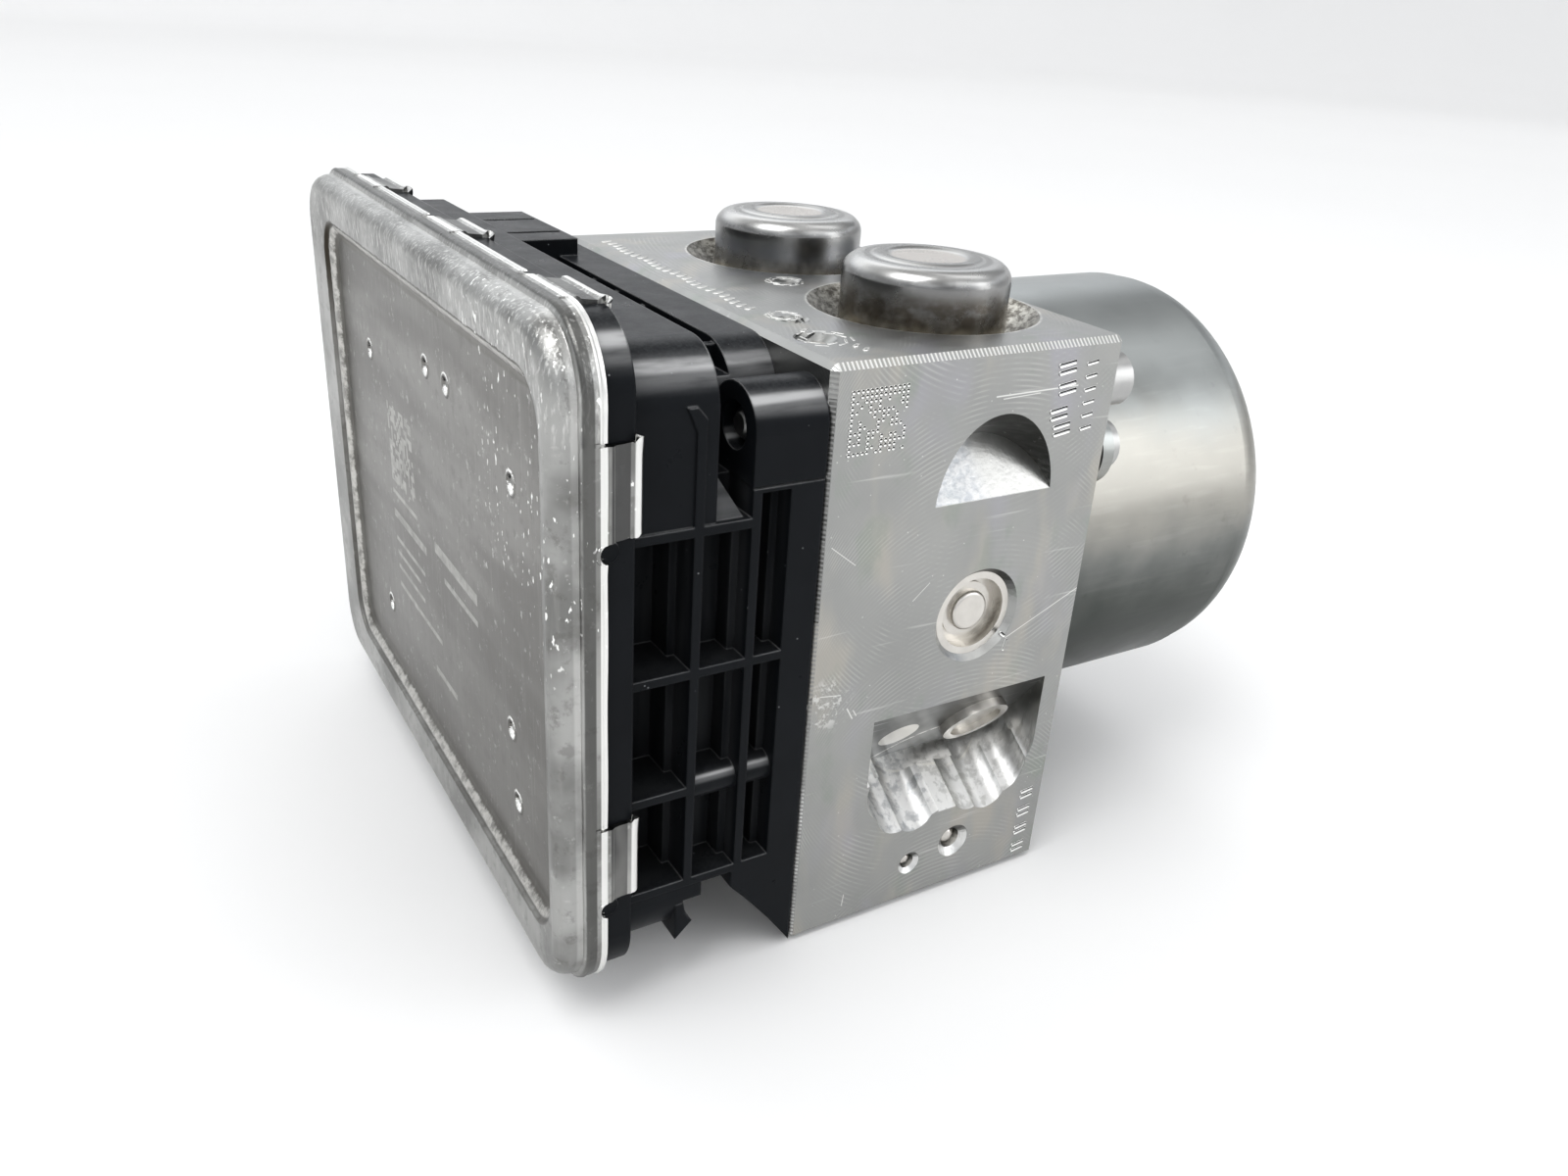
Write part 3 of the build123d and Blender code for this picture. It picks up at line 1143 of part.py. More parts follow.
# Shaft with its eccentric, and the ring that rolls on it
with BuildPart() as motor_shaft:
    eccentric_x = (PUMP_X - ECCENTRIC_WIDTH / 2, PUMP_X + ECCENTRIC_WIDTH / 2)
    with BuildSketch(across(eccentric_x[0])):
        with Locations((0, SHAFT_Z + ECCENTRIC_THROW)):
            Circle(ECCENTRIC_R)
    extrude(amount=ECCENTRIC_WIDTH)
    with BuildSketch(across(eccentric_x[1])):
        with Locations((0, SHAFT_Z)):
            Circle(SHAFT_R)
    extrude(amount=MOTOR_FACE + rear_end - TOUCH_GAP - eccentric_x[1])
motor_shaft.part.label = "motor_shaft"
export_step(motor_shaft.part, "parts/motor_shaft.step")

with BuildPart() as eccentric_ring:
    with BuildSketch(across(PUMP_X - RING_WIDTH / 2)):
        with Locations((0, SHAFT_Z + ECCENTRIC_THROW)):
            Circle(RING_R)
            Circle(ECCENTRIC_R + RUNNING_GAP, mode=Mode.SUBTRACT)
    extrude(amount=RING_WIDTH)
eccentric_ring.part.label = "eccentric_ring"
export_step(eccentric_ring.part, "parts/eccentric_ring.step")

# Rotor: slotted core, windings through the slots, and commutator
magnet_r = inner_r - SEAT_GAP
rotor_r = magnet_r - MAGNET_THICKNESS - ROTOR_GAP
rotor_x = MOTOR_FACE + ROTOR_START
slot_floor_r = rotor_r - SLOT_DEPTH
slot_angles = [360 / ROTOR_SLOTS * slot for slot in range(ROTOR_SLOTS)]


def slot_bars(width, start_r, end_r):
    """The slots of the rotor, or the windings in them, as bars in the sketch plane."""
    with Locations(*[Location((0, SHAFT_Z), angle) for angle in slot_angles]):
        with Locations(((start_r + end_r) / 2, 0)):
            Rectangle(end_r - start_r, width)


with BuildPart() as rotor_core:
    with BuildSketch(across(rotor_x)):
        with Locations((0, SHAFT_Z)):
            Circle(rotor_r)
    extrude(amount=ROTOR_LENGTH)
    with BuildSketch(across(rotor_x)):
        slot_bars(SLOT_WIDTH, slot_floor_r, rotor_r + ROTOR_GAP)
        with Locations((0, SHAFT_Z)):
            Circle(SHAFT_R)
    extrude(amount=ROTOR_LENGTH, mode=Mode.SUBTRACT)
rotor_core.part.label = "rotor_core"
export_step(rotor_core.part, "parts/rotor_core.step")

with BuildPart() as rotor_windings:
    winding_r = (slot_floor_r + WINDING_GAP, rotor_r - WINDING_GAP * 2)
    with BuildSketch(across(rotor_x - WINDING_GAP)):
        slot_bars(SLOT_WIDTH - 2 * WINDING_GAP, winding_r[0], winding_r[1])
    extrude(amount=ROTOR_LENGTH + 2 * WINDING_GAP)
    for start in (-WINDING_GAP - WINDING_OVERHANG, ROTOR_LENGTH + WINDING_GAP):
        with BuildSketch(across(rotor_x + start)):
            with Locations((0, SHAFT_Z)):
                Circle(winding_r[1])
                Circle(winding_r[0], mode=Mode.SUBTRACT)
        extrude(amount=WINDING_OVERHANG)
rotor_windings.part.label = "rotor_windings"
export_step(rotor_windings.part, "parts/rotor_windings.step")

with BuildPart() as commutator:
    outline = [
        (COMMUTATOR_START, SHAFT_R),
        (COMMUTATOR_START, COMMUTATOR_R),
        (COMMUTATOR_START + COMMUTATOR_LENGTH, COMMUTATOR_R),
        (COMMUTATOR_START + COMMUTATOR_LENGTH, SHAFT_R),
    ]
    turn(motor_line, outline)
commutator.part.label = "commutator"
export_step(commutator.part, "parts/commutator.step")

# Magnets against the can wall
with BuildPart() as motor_magnets:
    with BuildSketch(across(MOTOR_FACE + MAGNET_START)):
        with Locations((0, SHAFT_Z)):
            Circle(magnet_r)
            Circle(magnet_r - MAGNET_THICKNESS, mode=Mode.SUBTRACT)
        gap_width = 2 * magnet_r * sin(radians((360 / MAGNET_COUNT - MAGNET_ARC) / 2))
        with Locations(*[Location((0, SHAFT_Z), 360 / MAGNET_COUNT * gap) for gap in range(MAGNET_COUNT)]):
            with Locations((MOTOR_R / 2, 0)):
                Rectangle(MOTOR_R, gap_width, mode=Mode.SUBTRACT)
    extrude(amount=MOTOR_LENGTH - MOTOR_ROUND - MAGNET_END_GAP - MAGNET_START)
motor_magnets.part.label = "motor_magnets"
export_step(motor_magnets.part, "parts/motor_magnets.step")

# Brush gear: the brushes slide in boxes above and below the commutator
brush_x = MOTOR_FACE + COMMUTATOR_START + COMMUTATOR_LENGTH / 2
brush_y = (-BRUSH_WIDTH / 2, BRUSH_WIDTH / 2)
brush_limits_x = (brush_x - BRUSH_HEIGHT / 2, brush_x + BRUSH_HEIGHT / 2)
brush_start = COMMUTATOR_R + RUNNING_GAP
box_start = brush_start + BRUSH_BOX_LIFT
holder_x = MOTOR_FACE + FRONT_PLATE
box_x = (holder_x, brush_limits_x[1] + SEAT_GAP + BRUSH_BOX_WALL)


def up_and_down(start, end):
    """The same limits above and below the shaft axis."""
    return [(SHAFT_Z + start, SHAFT_Z + end), (SHAFT_Z - end, SHAFT_Z - start)]


with BuildPart() as brush_holder:
    with BuildSketch(across(holder_x)):
        with Locations((0, SHAFT_Z)):
            Circle(inner_r - BRUSH_HOLDER_GAP)
            Circle(box_start, mode=Mode.SUBTRACT)
    extrude(amount=BRUSH_HOLDER)
    for limits in up_and_down(box_start, box_start + BRUSH_BOX_LENGTH):
        slab(box_x, shrink(brush_y, -BRUSH_BOX_WALL - SEAT_GAP), limits)
    for limits in up_and_down(0, box_start + BRUSH_BOX_LENGTH):
        slab(shrink(brush_limits_x, -SEAT_GAP), shrink(brush_y, -SEAT_GAP), limits, mode=Mode.SUBTRACT)
brush_holder.part.label = "brush_holder"
export_step(brush_holder.part, "parts/brush_holder.step")

with BuildPart() as brushes:
    for limits in up_and_down(brush_start, brush_start + BRUSH_LENGTH):
        slab(brush_limits_x, brush_y, limits)
brushes.part.label = "brushes"
export_step(brushes.part, "parts/brushes.step")

with BuildPart() as brush_springs:
    spring_end = box_start + BRUSH_BOX_LENGTH
    for limits in up_and_down(brush_start + BRUSH_LENGTH, spring_end):
        slab(brush_limits_x, (-BRUSH_SPRING_SHEET / 2, BRUSH_SPRING_SHEET / 2), limits)
brush_springs.part.label = "brush_springs"
export_step(brush_springs.part, "parts/brush_springs.step")

# Two contact pins from the brush holder through the block to the board
with BuildPart() as contact_pins:
    with BuildSketch(across(board_back)):
        with Locations((-PIN_BORE_R / 2, PIN_BORE_Z), (PIN_BORE_R / 2, PIN_BORE_Z)):
            Circle(PIN_BORE_R / 4)
    extrude(amount=holder_x - board_back)
contact_pins.part.label = "contact_pins"
export_step(contact_pins.part, "parts/contact_pins.step")
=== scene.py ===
import json
import random
from math import cos, pi, radians, sin, sqrt
import bpy
from mathutils import Matrix, Vector


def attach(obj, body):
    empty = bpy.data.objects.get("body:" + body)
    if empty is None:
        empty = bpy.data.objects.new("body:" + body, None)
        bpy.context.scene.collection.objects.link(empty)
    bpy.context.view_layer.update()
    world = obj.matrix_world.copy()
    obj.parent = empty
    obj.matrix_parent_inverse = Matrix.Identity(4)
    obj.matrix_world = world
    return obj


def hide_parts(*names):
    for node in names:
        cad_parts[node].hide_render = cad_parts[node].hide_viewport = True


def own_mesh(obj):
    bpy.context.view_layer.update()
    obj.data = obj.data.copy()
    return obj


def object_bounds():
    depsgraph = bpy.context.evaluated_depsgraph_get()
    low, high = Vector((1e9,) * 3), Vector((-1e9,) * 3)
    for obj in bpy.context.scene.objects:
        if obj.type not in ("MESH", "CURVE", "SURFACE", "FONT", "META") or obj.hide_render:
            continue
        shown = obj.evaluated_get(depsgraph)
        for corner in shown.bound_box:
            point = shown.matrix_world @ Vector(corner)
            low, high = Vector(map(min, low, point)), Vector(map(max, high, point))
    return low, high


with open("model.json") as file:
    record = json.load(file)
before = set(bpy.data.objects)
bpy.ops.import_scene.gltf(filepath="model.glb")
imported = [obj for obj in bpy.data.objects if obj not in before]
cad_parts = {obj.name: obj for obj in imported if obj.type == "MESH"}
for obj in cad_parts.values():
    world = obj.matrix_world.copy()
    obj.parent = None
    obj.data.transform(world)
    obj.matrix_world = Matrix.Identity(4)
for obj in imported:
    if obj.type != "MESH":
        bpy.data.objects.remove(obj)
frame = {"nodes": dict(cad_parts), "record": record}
cad_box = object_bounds()
MM = 0.001
nodes = frame["nodes"]
dice = random.Random(4)

# Sizes taken from the CAD model, in millimetres
BLOCK_FACE = -22.5
BLOCK_HALF_Y = 39.75
BLOCK_TOP = 82.5
CUP_X = 5.8
CUP_YS = {"near": -18.0, "far": 18.0}
CUP_RECESS_R = 15.78

# Points within these distances of the block's middle along X, Y and Z lie inside its outer faces
BLOCK_INSIDE = (22.4, 39.7, 41.2)

# Sizes of the lid, in millimetres
LID_Y = (-42.67, 67.27)
LID_Z = (3.98, 90.52)
LID_CORNER = 9.0
SKIRT_BACK = 28.3
SHEET = 0.9
PANEL_Y = (LID_Y[0] + 4.8, LID_Y[1] - 11.0)
PANEL_Z = (LID_Z[0] + 8.1, LID_Z[1] - 7.1)
PANEL_CORNER = 6.0
PANEL_FRONT = 32.45
TAB_HALF = 5.4
NOTCH = 1.1
SIDE_TABS = (24.9, 72.0)
EDGE_TABS = (-28.2, 8.3, 44.8)
CORNER_STEPS = 10
SIDE_STEPS = 30
NOTCH_STEPS = 10
NOTCH_DEPTH = 0.75
SLIT_DEPTH = 0.9

# A fly cutter's arcs, in millimetres: their radius, and the step between arcs one way and the other
ARC_R = 27
ARC_STEPS = (0.72, 0.8)
TICK_STEP = 0.62

# Long scratches on the block's near face: two ends and a width, along X and Z
LONG_SCRATCHES = (
    ((1.8, 76.4), (15.3, 76.6), 0.16), ((3.0, 76.0), (9.0, 76.2), 0.1), ((9.5, 41.2), (21.8, 46.6), 0.12),
    ((-20.6, 39.2), (-17.4, 38.7), 0.12), ((-16.2, 36.4), (-15.2, 34.6), 0.16),
    ((-15.2, 35.9), (-14.6, 34.9), 0.12), ((-13.6, 5.0), (-13.8, 3.0), 0.12),
    ((-20.8, 60.0), (-17.0, 57.0), 0.08), ((-5.0, 52.4), (-7.5, 50.2), 0.08),
)

# Print on the lid: the square's limits, its cells' size, and plain bars by their limits along Y and Z
PRINT_SQUARE = (17.9, 30.3, 48.8, 61.3)
PRINT_CELL = 0.78
PRINT_BARS = (
    (17.5, 30.5, 46.6, 47.3), (13.6, 30.6, 42.6, 43.9), (-9.8, 9.0, 45.2, 46.9), (-9.6, 5.0, 42.0, 42.9),
    (15.0, 30.4, 38.6, 39.3), (17.8, 30.4, 36.2, 36.9), (16.0, 30.4, 33.8, 34.5), (8.0, 30.4, 30.6, 31.4),
    (2.0, 12.0, 24.4, 25.4),
)

# Clouds on bare aluminium: size in millimetres, detail, stretch, turn, range, share and colour
CLOUDS = (
    (7, 3, (1, 1, 0.4), (0, 0, 0), (0.52, 0.72), 0.7, (0.44, 0.418, 0.378)),
    (9, 2, (1, 1, 0.5), (0, 0, 0.4), (0.55, 0.75), 0.6, (0.385, 0.38, 0.42)),
    (5, 4, (1, 1, 0.6), (0.3, 0, 0), (0.56, 0.72), 0.55, (0.3, 0.33, 0.295)),
)


class Finish:
    """A procedural material: a Principled shader fed from object coordinates in metres."""

    def __init__(self, name, color, metallic=0.0, roughness=0.5, **sockets):
        self.material = bpy.data.materials.new(name)
        self.material.use_nodes = True
        self.tree = self.material.node_tree
        self.shader = self.tree.nodes["Principled BSDF"]
        self.shader.inputs["Base Color"].default_value = (*color, 1)
        self.shader.inputs["Metallic"].default_value = metallic
        self.shader.inputs["Roughness"].default_value = roughness
        for socket, value in sockets.items():
            self.shader.inputs[socket.replace("_", " ")].default_value = value
        self.place = self.add("ShaderNodeTexCoord").outputs["Object"]
        self.normal = None

    def add(self, kind, *values, **settings):
        """Add a node, set its properties, and feed its inputs in order with links or numbers."""
        node = self.tree.nodes.new(kind)
        for key, value in settings.items():
            setattr(node, key, value)
        for socket, value in zip([s for s in node.inputs if s.enabled], values):
            self.feed(socket, value)
        return node

    def feed(self, socket, value):
        if isinstance(value, bpy.types.NodeSocket):
            self.tree.links.new(value, socket)
        else:
            socket.default_value = value

    def math(self, operation, *values):
        return self.add("ShaderNodeMath", *values, operation=operation).outputs[0]

    def plus(self, first, second):
        return self.math("ADD", first, second)

    def minus(self, first, second):
        return self.math("SUBTRACT", first, second)

    def times(self, first, *others):
        for other in others:
            first = self.math("MULTIPLY", first, other)
        return first

    def absolute(self, value):
        return self.math("ABSOLUTE", value)

    def most(self, first, second):
        return self.math("MAXIMUM", first, second)

    def above(self, value, limit):
        """1 where the value is above the limit, otherwise 0."""
        return self.math("GREATER_THAN", value, limit)

    def below(self, value, limit):
        """1 where the value is below the limit, otherwise 0."""
        return self.math("LESS_THAN", value, limit)

    def wave(self, value, length):
        """A sine of this wavelength in millimetres."""
        return self.math("SINE", self.times(value, 2 * pi / (length * MM)))

    def length(self, first, second):
        """The length of a flat vector from its two parts."""
        return self.math("SQRT", self.plus(self.times(first, first), self.times(second, second)))

    def split(self, vector):
        return self.add("ShaderNodeSeparateXYZ", vector).outputs

    def stretched(self, scale, turn=(0, 0, 0)):
        node = self.add("ShaderNodeMapping")
        self.feed(node.inputs["Vector"], self.place)
        node.inputs["Scale"].default_value = scale
        node.inputs["Rotation"].default_value = turn
        return node.outputs[0]

    def noise(self, size, detail=3.0, place=None, roughness=0.5):
        """Noise with features of about this size in metres, from 0 to 1."""
        node = self.add("ShaderNodeTexNoise")
        self.feed(node.inputs["Vector"], place or self.place)
        node.inputs["Scale"].default_value = 1 / size
        node.inputs["Detail"].default_value = detail
        node.inputs["Roughness"].default_value = roughness
        return node.outputs["Fac"]

    def specks(self, size, low, high):
        """Small round spots: 1 in a spot's middle, 0 away from it."""
        node = self.add("ShaderNodeTexVoronoi")
        self.feed(node.inputs["Vector"], self.place)
        node.inputs["Scale"].default_value = 1 / size
        return self.fit(node.outputs["Distance"], high, low)

    def fit(self, value, low, high, out_low=0.0, out_high=1.0, smooth=True):
        """Map a range to another one and hold its ends."""
        kind = "SMOOTHSTEP" if smooth else "LINEAR"
        node = self.add("ShaderNodeMapRange", interpolation_type=kind)
        for socket, entry in zip(node.inputs, (value, low, high, out_low, out_high)):
            self.feed(socket, entry)
        return node.outputs[0]

    def band(self, value, low, high, soft):
        """1 between two values in millimetres, with soft ends."""
        rise = self.fit(value, (low - soft) * MM, low * MM)
        return self.times(rise, self.fit(value, (high + soft) * MM, high * MM))

    def blend(self, share, first, second):
        """Mix two colours, given as sockets or as triples."""
        node = self.add("ShaderNodeMix", data_type="RGBA")
        self.feed(node.inputs[0], share)
        for socket, entry in zip(node.inputs[6:8], (first, second)):
            self.feed(socket, (*entry, 1) if isinstance(entry, tuple) else entry)
        return node.outputs[2]

    def color(self, share, first, second):
        self.feed(self.shader.inputs["Base Color"], self.blend(share, first, second))

    def recolor(self, share, tint, amount=1.0):
        """Lay a tint over the colour so far."""
        if amount != 1.0:
            share = self.times(share, amount)
        socket = self.shader.inputs["Base Color"]
        self.feed(socket, self.blend(share, socket.links[0].from_socket, tint))

    def rough(self, share, low, high):
        self.feed(self.shader.inputs["Roughness"], self.fit(share, 0, 1, low, high, smooth=False))

    def bend(self, node):
        """Send the shading normal through a node."""
        self.normal = node.outputs[0]
        self.feed(self.shader.inputs["Normal"], self.normal)

    def soften(self, radius):
        """Round the sharp edges in the shading."""
        node = self.add("ShaderNodeBevel", samples=4)
        node.inputs["Radius"].default_value = radius
        self.bend(node)

    def bump(self, height, distance):
        node = self.add("ShaderNodeBump")
        node.inputs["Strength"].default_value = 1.0
        node.inputs["Distance"].default_value = distance
        self.feed(node.inputs["Height"], height)
        if self.normal:
            self.feed(node.inputs["Normal"], self.normal)
        self.bend(node)

    def true_normal(self):
        """The X, Y and Z parts of the surface normal."""
        return self.split(self.add("ShaderNodeNewGeometry").outputs["True Normal"])

    def facing(self):
        """The sizes of the surface normal's X, Y and Z parts."""
        return [self.absolute(part) for part in self.true_normal()]


def box_mask(finish, first, second, limits):
    """1 inside a rectangle, given by its limits along each coordinate in millimetres."""
    sides = []
    for value, low, high in ((first, *limits[:2]), (second, *limits[2:])):
        off = finish.absolute(finish.minus(value, (low + high) / 2 * MM))
        sides.append(finish.below(off, (high - low) / 2 * MM))
    return finish.times(*sides)


def spot_distance(finish, first, second, at_first, at_second):
    """Distance in a plane from a point given in millimetres."""
    return finish.length(finish.minus(first, at_first * MM), finish.minus(second, at_second * MM))


def line_mask(finish, first, second, start, end, width):
    """1 on a thin line between two points given in millimetres, fading out across its width."""
    run, rise = end[0] - start[0], end[1] - start[1]
    length = sqrt(run ** 2 + rise ** 2)
    run, rise = run / length, rise / length
    off_first, off_second = finish.minus(first, start[0] * MM), finish.minus(second, start[1] * MM)
    along = finish.plus(finish.times(off_first, run), finish.times(off_second, rise))
    aside = finish.absolute(finish.minus(finish.times(off_first, rise), finish.times(off_second, run)))
    half = length / 2 * MM
    inside = finish.below(finish.absolute(finish.minus(along, half)), half)
    return finish.times(inside, finish.fit(aside, width * MM, 0))


def plain_metal(name, dark, light, roughness, grain=0.004, metallic=1.0):
    """Metal with cloudy colour and fine grain."""
    finish = Finish(name, light, metallic, roughness)
    cloud = finish.noise(grain, 4)
    fine = finish.noise(grain / 12, 2)
    finish.color(cloud, dark, light)
    finish.rough(cloud, roughness - 0.06, roughness + 0.1)
    finish.bump(fine, 4e-6)
    return finish


def cloudy_aluminium(finish):
    """Grey aluminium with soft beige, violet and green clouds that run up the sides."""
    finish.color(finish.noise(14 * MM, 3), (0.3, 0.305, 0.3), (0.41, 0.41, 0.399))
    for size, detail, stretch, turn, (low, high), share, tint in CLOUDS:
        cloud = finish.noise(size * MM, detail, finish.stretched(stretch, turn))
        finish.recolor(finish.fit(cloud, low, high, 0, share), tint)


def milling_arcs(finish, x, y, z, inside):
    """The height of the cutter's arcs, two sets that cross on each outer face."""
    inside_x, inside_y, inside_z = inside
    face_x, face_y, face_z = finish.facing()
    cloud = finish.noise(11 * MM, 2)
    waves = []
    for across, along, face, within, shift, squeeze in (
        (x, z, face_y, inside_y, 3, 1.0),
        (y, x, face_z, inside_z, 6, 0.55),
        (y, z, face_x, inside_x, 4, 0.55),
    ):
        off = finish.times(finish.minus(across, shift * MM), squeeze)
        left = finish.minus((ARC_R * MM) ** 2, finish.times(off, off))
        reach = finish.math("SQRT", finish.most(left, 0.0))
        up = finish.wave(finish.minus(along, reach), ARC_STEPS[0])
        down = finish.wave(finish.plus(along, reach), ARC_STEPS[1])
        up = finish.times(up, finish.fit(cloud, 0.42, 0.62))
        down = finish.times(down, finish.fit(cloud, 0.58, 0.38))
        flat = finish.most(finish.minus(finish.above(face, 0.98), within), 0.0)
        waves.append(finish.times(finish.plus(up, down), flat))
    return finish.plus(finish.plus(waves[0], waves[1]), waves[2])


def cut_walls(finish, x, z, inside):
    """Painted shade on the walls in the cuts and on faces that face down, mottle painted lighter where
    cuts face up, and a painted highlight on the lower pocket's scalloped wall. Returns the mottle's
    height.
    """
    slope = finish.true_normal()[2]
    near_cut = finish.times(*inside, finish.below(z, 78.5 * MM))
    mottle = finish.noise(1.0 * MM, 5, roughness=0.62)
    left = finish.blend(finish.fit(mottle, 0.36, 0.62), (0.35, 0.365, 0.385), (0.48, 0.485, 0.49))
    right = finish.blend(mottle, (0.42, 0.42, 0.41), (0.58, 0.58, 0.565))
    # Mottle on cuts that face up, painted lighter there as the light that falls on them
    cut_up = finish.times(near_cut, finish.fit(slope, 0.15, 0.4))
    finish.recolor(cut_up, finish.blend(finish.fit(x, 0.5 * MM, 4 * MM), left, right), 0.85)
    # Painted shade on the steep walls of the upper cuts, broken into streaks
    wall = finish.times(near_cut, finish.above(z, 50 * MM), finish.fit(slope, 0.4, 0.1))
    streaks = finish.noise(1.1 * MM, 4, finish.stretched((0.4, 0.4, 2)), 0.6)
    streaks = finish.blend(finish.fit(streaks, 0.4, 0.65), (0.05, 0.05, 0.048), (0.2, 0.2, 0.195))
    finish.recolor(wall, streaks, 0.9)
    # Painted shade on every face that faces down
    finish.recolor(finish.fit(slope, -0.05, -0.5), (0.07, 0.07, 0.066), 0.85)
    # The lower pocket's scalloped wall gets a painted highlight, with dark lines up it
    scallop = finish.times(near_cut, finish.fit(z, 27 * MM, 23 * MM), finish.fit(slope, -0.4, -0.1))
    upright = finish.noise(1.3 * MM, 4, finish.stretched((1, 1, 0.12)), 0.6)
    finish.recolor(finish.times(scallop, finish.fit(upright, 0.38, 0.55, 0.2, 0.9)), (0.74, 0.74, 0.73))
    return finish.times(mottle, cut_up)


def cup_cones(finish, x, y, z):
    """Rough, stained cones round the cups, and a smeared ring at each cone's edge."""
    stain = finish.noise(1.6 * MM, 5, finish.stretched((1, 1, 2.4)), 0.68)
    stained = finish.blend(finish.fit(stain, 0.36, 0.66), (0.11, 0.1, 0.085), (0.5, 0.485, 0.44))
    height = finish.times(finish.below(z, 82.46 * MM), finish.above(z, 78.6 * MM))
    for cup_y in CUP_YS.values():
        ring = spot_distance(finish, x, y, CUP_X, cup_y)
        finish.recolor(finish.times(finish.below(ring, CUP_RECESS_R * MM), height), stained, 0.95)
        lip = finish.times(finish.fit(ring, 16.25 * MM, 15.95 * MM), finish.above(ring, 15.79 * MM))
        finish.recolor(finish.times(lip, finish.fit(stain, 0.35, 0.6, 0, 0.7)), (0.75, 0.74, 0.7))


def chamfer_ticks(finish, x, y, z):
    """Ticks along the chamfers round the outer faces, painted bright as a highlight on chamfers that face
    up and darker on the others. Returns their height.
    """
    face_x, face_y, face_z = finish.facing()
    edge = finish.above(finish.times(finish.most(face_x, face_z), face_y), 0.3)
    outer = finish.most(finish.above(finish.absolute(x), 21.6 * MM), finish.above(z, 81.6 * MM))
    edge = finish.times(edge, outer, finish.above(finish.absolute(y), 38.85 * MM))
    on_top_edge = finish.above(face_z, 0.3)
    along = finish.plus(finish.times(x, on_top_edge), finish.times(z, finish.above(face_x, 0.3)))
    ticks = finish.wave(along, TICK_STEP)
    # Painted highlight on the ticks of chamfers that face up, darker ticks on the side chamfers
    tint = finish.blend(on_top_edge, (0.3, 0.3, 0.295), (0.86, 0.86, 0.84))
    finish.recolor(finish.times(edge, finish.fit(ticks, -0.2, 0.5, 0.15, 0.95)), tint)
    return finish.times(ticks, edge)


def block_finish():
    """Milled aluminium: arcs from a fly cutter on each face, ticks along the chamfers, nicks."""
    finish = Finish("milled_aluminium", (0.55, 0.55, 0.54), 1.0, 0.3)
    x, y, z = finish.split(finish.place)
    height = finish.minus(z, BLOCK_TOP / 2 * MM)
    inside = [
        finish.below(finish.absolute(value), limit * MM)
        for value, limit in zip((x, y, height), BLOCK_INSIDE)
    ]
    arcs = milling_arcs(finish, x, y, z, inside)
    cloudy_aluminium(finish)
    strength = finish.fit(finish.noise(6 * MM, 4, roughness=0.6), 0.42, 0.62, 0.1, 1.0)
    finish.recolor(finish.times(finish.fit(arcs, 0.3, 1.2, 0, 0.3), strength), (0.66, 0.66, 0.64))
    finish.recolor(finish.times(finish.fit(arcs, -0.3, -1.2, 0, 0.2), strength), (0.25, 0.255, 0.25))
    finish.recolor(finish.specks(1.7 * MM, 0.04, 0.07), (0.78, 0.78, 0.76), 0.55)
    mottled_cuts = cut_walls(finish, x, z, inside)
    finish.rough(finish.noise(3 * MM, 4), 0.24, 0.4)
    # Battered patch at the near face's left edge, and long thin scratches
    patch = finish.fit(finish.noise(1.3 * MM, 5, roughness=0.7), 0.53, 0.62)
    patch = finish.times(patch, finish.fit(spot_distance(finish, x, z, -19.6, 37.6), 5 * MM, 2 * MM))
    finish.recolor(patch, (0.78, 0.78, 0.76), 0.6)
    for line in LONG_SCRATCHES:
        finish.recolor(line_mask(finish, x, z, *line), (0.86, 0.86, 0.84), 0.8)
    cup_cones(finish, x, y, z)
    ticks = chamfer_ticks(finish, x, y, z)
    fine = finish.noise(0.9 * MM, 2, finish.stretched((0.05, 1, 1), (0, 0.5, 0)))
    scratch = finish.fit(fine, 0.66, 0.76)
    finish.recolor(scratch, (0.75, 0.75, 0.73), 0.3)
    finish.bump(arcs, 3e-6)
    finish.bump(patch, 6e-5)
    finish.bump(mottled_cuts, 3e-5)
    finish.bump(ticks, 2e-5)
    finish.bump(finish.plus(finish.noise(0.5 * MM, 2), scratch), 2e-6)
    return finish


def peened_finish():
    """Struck marks: painted highlights on the sides that face up and on the tilted tops, painted shade on
    the sides that face down.
    """
    finish = Finish("peened_aluminium", (0.55, 0.55, 0.54), 1.0, 0.3)
    cloudy_aluminium(finish)
    slope = finish.true_normal()[2]
    side = finish.below(slope, 0.7)
    # Painted highlight on sides that face up
    finish.recolor(finish.times(finish.fit(slope, 0.06, 0.2), side), (0.98, 0.98, 0.96))
    # Painted shade on sides that face down
    finish.recolor(finish.fit(slope, -0.06, -0.2, 0, 0.97), (0.012, 0.012, 0.012))
    # Painted highlight on tops that tilt a little
    top = finish.above(slope, 0.7)
    finish.recolor(finish.times(finish.fit(slope, 0.97, 0.9), top), (0.95, 0.94, 0.9))
    finish.rough(finish.noise(1 * MM, 3), 0.3, 0.45)
    return finish


def panel_distance(finish, y, z):
    """Distance out from the sunk panel's rounded outline in metres, less than zero inside it."""
    reach = []
    for value, (low, high) in ((y, PANEL_Y), (z, PANEL_Z)):
        off = finish.absolute(finish.minus(value, (low + high) / 2 * MM))
        reach.append(finish.minus(off, ((high - low) / 2 - PANEL_CORNER) * MM))
    outside = finish.length(*[finish.most(part, 0.0) for part in reach])
    inside = finish.math("MINIMUM", finish.most(*reach), 0.0)
    return finish.minus(finish.plus(outside, inside), PANEL_CORNER * MM)


